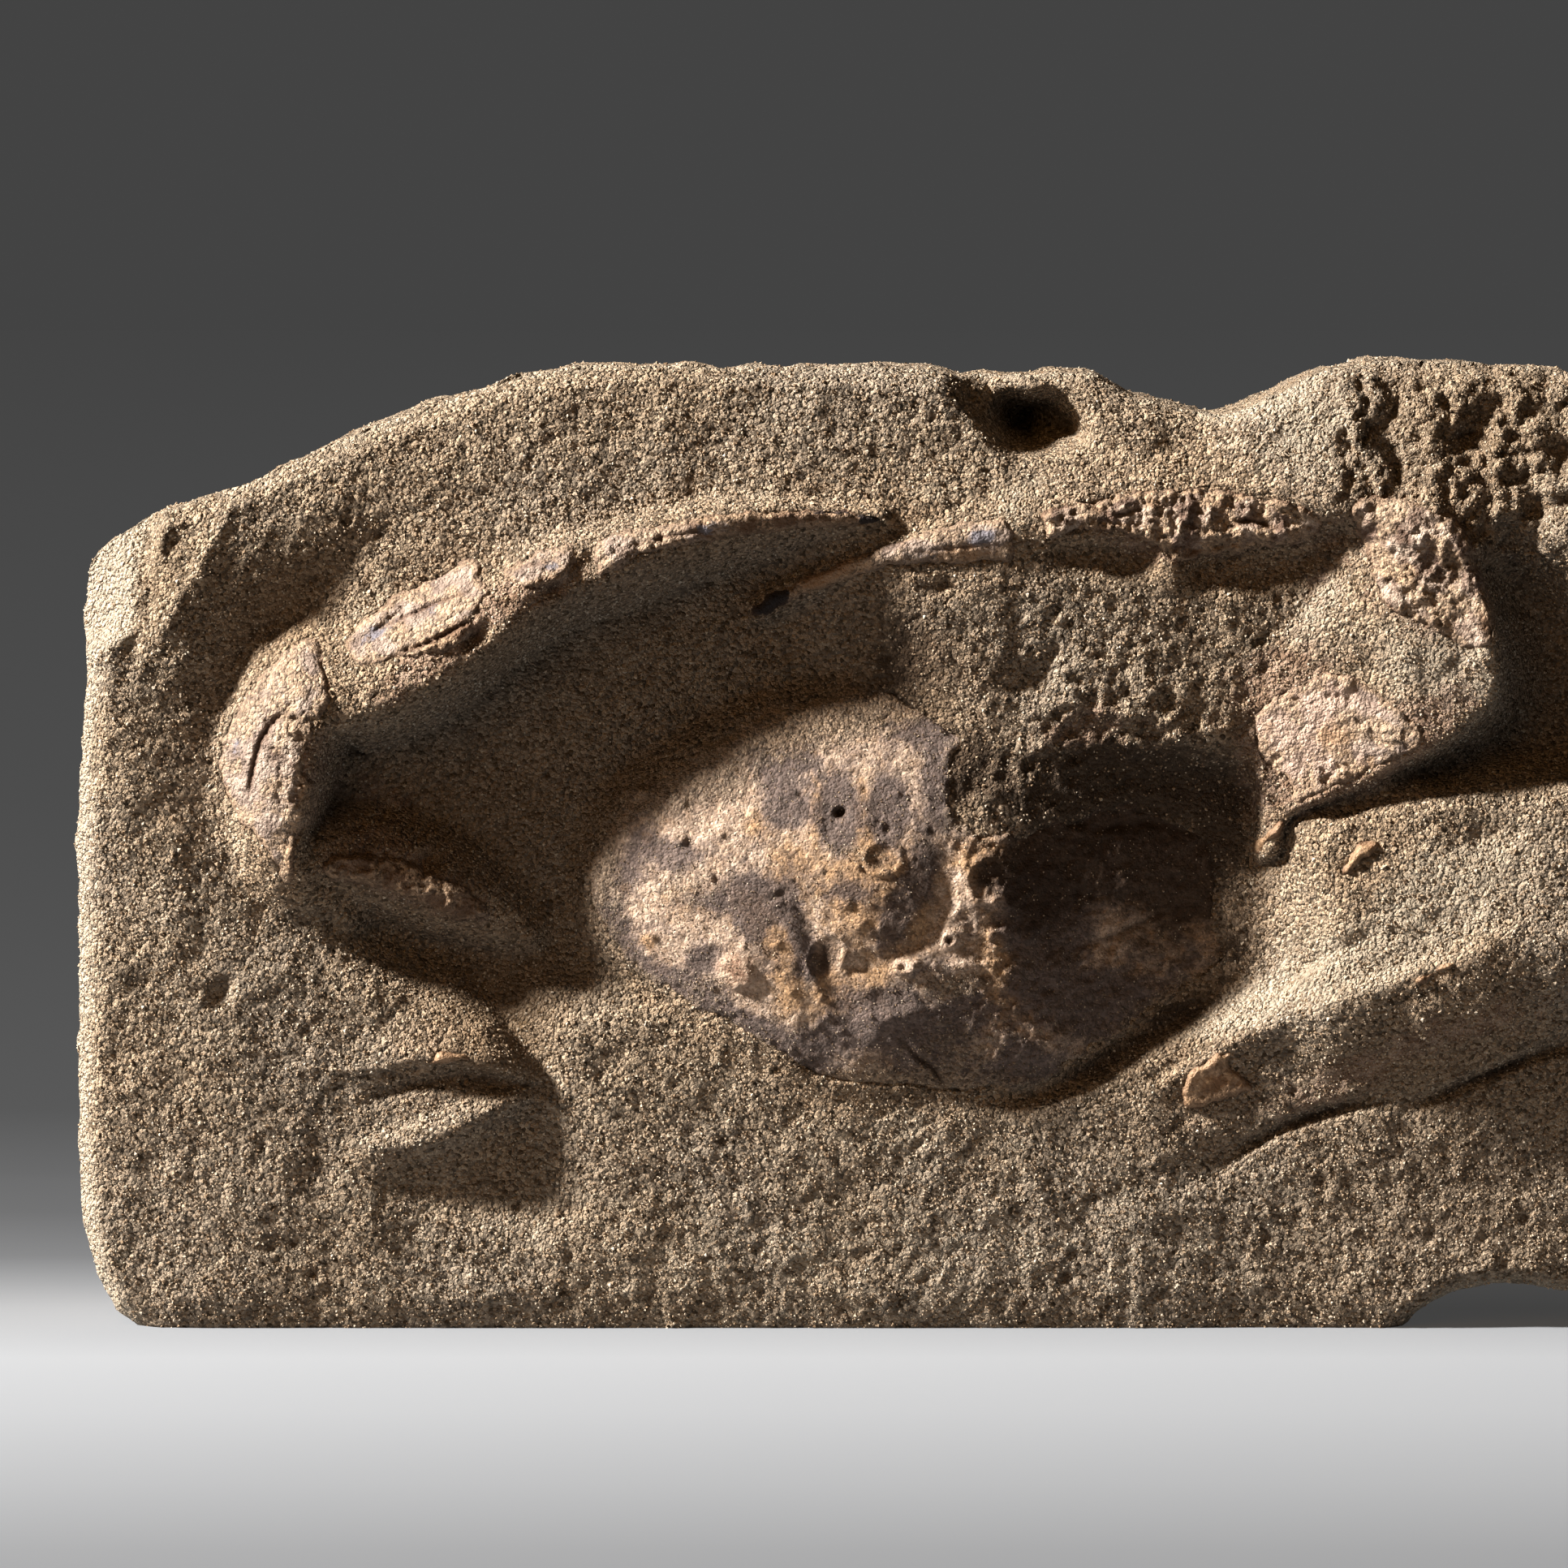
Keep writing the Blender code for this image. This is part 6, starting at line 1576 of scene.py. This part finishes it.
# %% The material of the stone, and of its loose grains
TAN, GREY_SAND, RUST = (0.345, 0.272, 0.198), (0.33, 0.272, 0.212), (0.35, 0.225, 0.13)
DARK_GRAIN, QUARTZ = (0.11, 0.08, 0.05), (0.47, 0.415, 0.34)


def sand_colour(tree, grains, warm):
    colour = mottled(tree, noise(tree, 26.0, 4.0), 0.4, 0.62, TAN, GREY_SAND)
    colour = blend_colour(tree, warm, colour, RUST)
    bright = number(tree, "MULTIPLY_ADD", grains.outputs["Light"], 1.05, 0.5)
    colour = blend_colour(tree, 1.0, colour, bright, mode="MULTIPLY")
    return blend_colour(tree, grains.outputs["Odd grain"], colour, DARK_GRAIN)


sandstone, tree, surface = start_material("sandstone", 0.9)
grains = placed_group(tree, sand, Grain_size=0.48)
warm = number(tree, "MULTIPLY", patch_of(tree, "stain", 6.0, 0.4), 0.2)
limb_tint = mottled(tree, noise(tree, 2.4, 5.0, 0.7), 0.42, 0.58, (0.20, 0.12, 0.08), (0.44, 0.32, 0.25))
colour = layered(tree, sand_colour(tree, grains, warm), [
    # brown: partly the stone's own colour, partly painted shade in shadowed hollows
    ("brown", 0, 0, 0.5, (0.26, 0.175, 0.10)),
    # pale: pale dust and painted highlight on lit slopes and rims
    ("pale", 4.0, 0.5, 0.7, (0.50, 0.43, 0.34)),
    ("limb", 2.6, 0.35, 0.65, limb_tint),
    # low: painted shade in the low spots of the crumbs
    ("low", 0, 0, 0.35, (0.20, 0.14, 0.09)),
    # deep: painted shade and shadow, near black
    ("deep", 2.0, 0.5, 0.85, (0.075, 0.048, 0.029)),
])
finish_surface(tree, surface, colour, grains.outputs["Height"], 0.00068)

GRAIN_TONES = [
    (0.0, DARK_GRAIN), (0.06, (0.16, 0.11, 0.07)), (0.2, (0.27, 0.20, 0.135)), (0.6, TAN), (1.0, QUARTZ),
]
loose, tree, surface = start_material("loose grains", 0.85)
put(tree, surface.inputs["Base Color"], colour_ramp(tree, painted(tree, "tone"), GRAIN_TONES))
print(sandstone.name, "has", len(sandstone.node_tree.nodes), "nodes")

# %% [markdown]
# ## Body shell
# The shell has kept a ghost of its colours: buff with ochre lobes and blue-grey clouds, under a thin
# veil of sand. It is smoother than the stone and catches a dull shine.

# %% The material of the body shell
body_shell, tree, surface = start_material("body shell", 0.62)
dust_sand = placed_group(tree, sand, Grain_size=0.36)
fine = noise(tree, 1.6, 7.0, 0.8)
colour = layered(tree, mottled(tree, fine, 0.34, 0.66, (0.32, 0.23, 0.165), (0.58, 0.46, 0.37)), [
    ("ochre", 1.8, 0.5, 0.75, (0.38, 0.24, 0.125)),
    ("cloud", 1.4, 0.5, 0.82, (0.10, 0.076, 0.072)),
    # deep: dark shell colour and painted shade
    ("deep", 1.6, 0.5, 0.92, (0.058, 0.034, 0.02)),
])
speckle = number(tree, "MULTIPLY_ADD", dust_sand.outputs["Light"], 0.6, 0.68)
colour = blend_colour(tree, 1.0, colour, speckle, mode="MULTIPLY")
dusting = patch_of(tree, "dust", 1.6, 0.45)
veil = number(tree, "MULTIPLY", dusting, 0.75)
colour = blend_colour(tree, veil, colour, sand_colour(tree, dust_sand, 0.2))
colour = layered(tree, colour, [
    ("bone", 0, 0, 1.0, mottled(tree, fine, 0.4, 0.6, (0.30, 0.19, 0.13), (0.56, 0.43, 0.33))),
    # painted shade in cracks and pits
    ("painted_crease_shade", 0, 0, 1.0, (0.06, 0.035, 0.02)),
])
grain_share = number(tree, "MULTIPLY_ADD", dusting, 0.6, 0.45)
sandy = number(tree, "MULTIPLY", dust_sand.outputs["Height"], grain_share)
finish_surface(tree, surface, colour, number(tree, "MULTIPLY_ADD", fine, 1.2, sandy), 0.0003)
print(body_shell.name, "has", len(tree.nodes), "nodes")

# %% [markdown]
# ## Shell of the claws and legs
# The claws are paler and pinker. Their broken parts are red-brown with a sandy crust, and the
# flakes on the legs are thin enough to look like amber. All three share one recipe with other
# colours in it.

# %% Three materials from one recipe
def limb_material(name, light, deep, crust, roughness, bump):
    made, tree, surface = start_material(name, roughness)
    dust_sand = placed_group(tree, sand, Grain_size=0.42)
    broad = noise(tree, 3.2, 6.0, 0.75)
    broken = mottled(tree, broad, 0.4, 0.6, (0.135, 0.09, 0.065), (0.44, 0.355, 0.29))
    colour = layered(tree, mottled(tree, broad, 0.38, 0.62, deep, light), [
        ("raw", 1.6, 0.3, 0.8, broken),
        # rosy: shell pink and painted highlight on the lit right arm
        ("rosy", 3.0, 0.5, 0.55, (0.62, 0.46, 0.37)),
        ("ochre", 2.0, 0.35, 0.6, (0.40, 0.25, 0.13)),
        ("amber", 2.0, 0.35, 0.75, (0.15, 0.08, 0.036)),
        ("bruise", 1.5, 0.2, 1.0, (0.19, 0.175, 0.19)),
        ("dust", 1.8, 0.25, crust, sand_colour(tree, dust_sand, 0.4)),
        ("black", 1.0, 0.15, 1.0, (0.022, 0.02, 0.022)),
        # painted shade at the plate's edge and in cracks
        ("painted_crease_shade", 0, 0, 0.85, (0.12, 0.07, 0.045)),
    ])
    height = number(tree, "MULTIPLY_ADD", dust_sand.outputs["Height"], 0.6, broad)
    finish_surface(tree, surface, colour, height, bump)
    return made


FINISHES = {
    "claw_shell": limb_material("claw shell", (0.37, 0.295, 0.245), (0.18, 0.135, 0.11), 0.7, 0.6, 0.0004),
    "broken_shell": limb_material("broken shell", (0.46, 0.37, 0.30), (0.15, 0.10, 0.075), 0.75, 0.8, 0.0004),
    "leg_shell": limb_material("leg shell", (0.38, 0.25, 0.145), (0.20, 0.11, 0.055), 0.45, 0.5, 0.0002),
}
print("finishes:", ", ".join(FINISHES))

# %% Dress the pieces and strew the grains
block.data.materials.append(sandstone)
body.data.materials.append(body_shell)
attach(block, "root")
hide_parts("matrix_block")
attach(body, "root")
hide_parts("carapace")
for name, node, slot, *_ in CLAW_PATCHES:
    piece = patches[name][0]
    piece.data.materials.append(FINISHES[slot])
    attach(piece, "root")
    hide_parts(node)

strewer = grain_tree(loose)
STREWN = [
    # name, the piece below, most per square metre, smallest and largest radius, seed
    ("finest_grains", block, 6.4e5, 0.00009, 0.00018, 16),
    ("fine_grains", block, 6.4e5, 0.00011, 0.00021, 11),
    ("middle_grains", block, 6.0e5, 0.00013, 0.00025, 12),
    ("large_grains", block, 5.0e5, 0.00015, 0.00029, 14),
    ("coarse_grains", block, 0.8e5, 0.00024, 0.00040, 15),
    ("grains_on_body", body, 4.5e6, 0.00008, 0.00018, 13),
]
for name, below, most, smallest, largest, seed in STREWN:
    made = strew(
        name, below, strewer, Most_per_square_metre=most, Smallest=smallest, Largest=largest, Seed=seed,
    )
    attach(made, "root")

# %% [markdown]
# ## Floor, light and camera
# The block stands on a pale table with a pool of light painted into its colour, which falls away
# into a dark room, and the table glows faintly by its own emission. One small bright lamp rakes the
# face from the upper left, so low that every grain throws a shadow, and a large weak one above it
# keeps the hollows readable. The camera is far away behind a long lens, just above the middle of
# the block.

# %% A pale floor with a painted pool of light that fades into the dark
# Painted light on the floor: the pool's brightness by how far towards the back, and the floor's
# glow, by the same squeezed into -1 to 1.
PAINTED_LIGHT_POOL = [
    (-0.6, 0.1), (-0.4, 0.28), (-0.21, 0.6), (-0.16, 0.76), (-0.10, 0.92), (-0.05, 1.0), (0.0, 0.78),
    (0.057, 0.30), (0.11, 0.13), (0.16, 0.06), (0.25, 0.0),
]
POOL_SHIFT = 0.6
PAINTED_FLOOR_GLOW = [
    (0.0, 0.09), (0.13, 0.17), (0.206, 0.155), (0.35, 0.137), (0.487, 0.122), (0.737, 0.107), (0.87, 0.097),
]
FLOOR_TINT, FAR_FLOOR = (0.247, 0.257, 0.273), (0.02, 0.02, 0.02)

bpy.ops.mesh.primitive_plane_add(size=12, location=(0, 0, 0))
floor = bpy.context.object
floor.name = "floor"
floor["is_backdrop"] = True
table, tree, surface = start_material("pale table", 0.8, shine=0.0)
where = tree.nodes.new("ShaderNodeTexCoord").outputs["Object"]
place = add(tree, "ShaderNodeSeparateXYZ", Vector=where).outputs
painted_pool_stops = [(at + POOL_SHIFT, [tone * share for share in FLOOR_TINT]) for at, tone in PAINTED_LIGHT_POOL]
painted_pool = colour_ramp(tree, number(tree, "ADD", place["Y"], POOL_SHIFT), painted_pool_stops)
sideways = between_two(tree, number(tree, "ABSOLUTE", place["X"]), 0.3, 1.4)
shrunk = number(tree, "DIVIDE", place["Y"], number(tree, "ADD", number(tree, "ABSOLUTE", place["Y"]), 1.0))
# Painted light: the pool and its dark sides go into the base colour, and the floor glows by emission though
# it is no lamp.
fill(
    tree, surface, Base_Color=blend_colour(tree, sideways, painted_pool, FAR_FLOOR), Emission_Strength=1.0,
    Emission_Color=colour_ramp(tree, shrunk, [(at, [tone] * 3) for at, tone in PAINTED_FLOOR_GLOW]),
)
floor.data.materials.append(table)
print(table.name, "has", len(tree.nodes), "nodes")

# %% Lamps and the dim room
ROOM_LIGHT, ROOM_SEEN = (0.032, 0.02, 0.009), (0.097, 0.097, 0.097)
world = bpy.data.worlds.new("dim room")
bpy.context.scene.world = world
world.use_nodes = True
tree = world.node_tree
seen = tree.nodes.new("ShaderNodeLightPath").outputs["Is Camera Ray"]
put(tree, tree.nodes["Background"].inputs["Color"], blend_colour(tree, seen, ROOM_LIGHT, ROOM_SEEN))

AIM = Vector((-0.01, FACE_Y * MM, 0.065))
LAMP_AWAY = 3.0


def looking(name, data, aim, way, away):
    """A lamp or camera that looks at a place from some way off."""
    made = bpy.data.objects.new(name, data)
    made.location = aim + way * away
    made.rotation_euler = (-way).to_track_quat("-Z", "Y").to_euler()
    bpy.context.scene.collection.objects.link(made)
    return made


def lamp(name, turn, rise, size, watts, colour):
    """A round lamp that shines on the face from turn degrees round it and rise degrees off it."""
    turn, rise = np.radians(turn), np.radians(rise)
    data = bpy.data.lights.new(name, "AREA")
    data.shape = "DISK"
    data.size = size
    data.energy = watts
    data.color = colour
    way = Vector((np.cos(turn) * np.cos(rise), -np.sin(rise), np.sin(turn) * np.cos(rise)))
    looking(name, data, AIM, way, LAMP_AWAY)


lamp("raking lamp", 146, 10.5, 0.38, 412, (1.0, 0.975, 0.94))
lamp("soft fill", 135, 55, 1.8, 15, (1.0, 0.56, 0.17))
bpy.context.scene.view_settings.view_transform = "Standard"
bpy.context.scene.view_settings.gamma = 0.8

# %% The camera
VIEW_MIDDLE = Vector((-0.0144, FACE_Y * MM, 0.0705))
VIEW_WIDTH = 0.2013
VIEW_RISE = np.radians(4)
VIEW_AWAY = 1.2
way = Vector((0, -np.cos(VIEW_RISE), np.sin(VIEW_RISE)))
camera = looking("camera", bpy.data.cameras.new("camera"), VIEW_MIDDLE, way, VIEW_AWAY)
camera.data.lens = camera.data.sensor_width * VIEW_AWAY / VIEW_WIDTH
camera.data.clip_start = 0.05
bpy.context.scene.camera = camera
print("lens of", round(camera.data.lens), "mm")

# %% [markdown]
# ## The size of the part and of the dressed model
# Both boxes are printed, the part's and the dressed model's, in millimetres.

# %% Sizes, and the end
new_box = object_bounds()
for label, box in (("part", cad_box), ("dressed", new_box)):
    print(label, [round(v / MM, 1) for v in box[1] - box[0]])
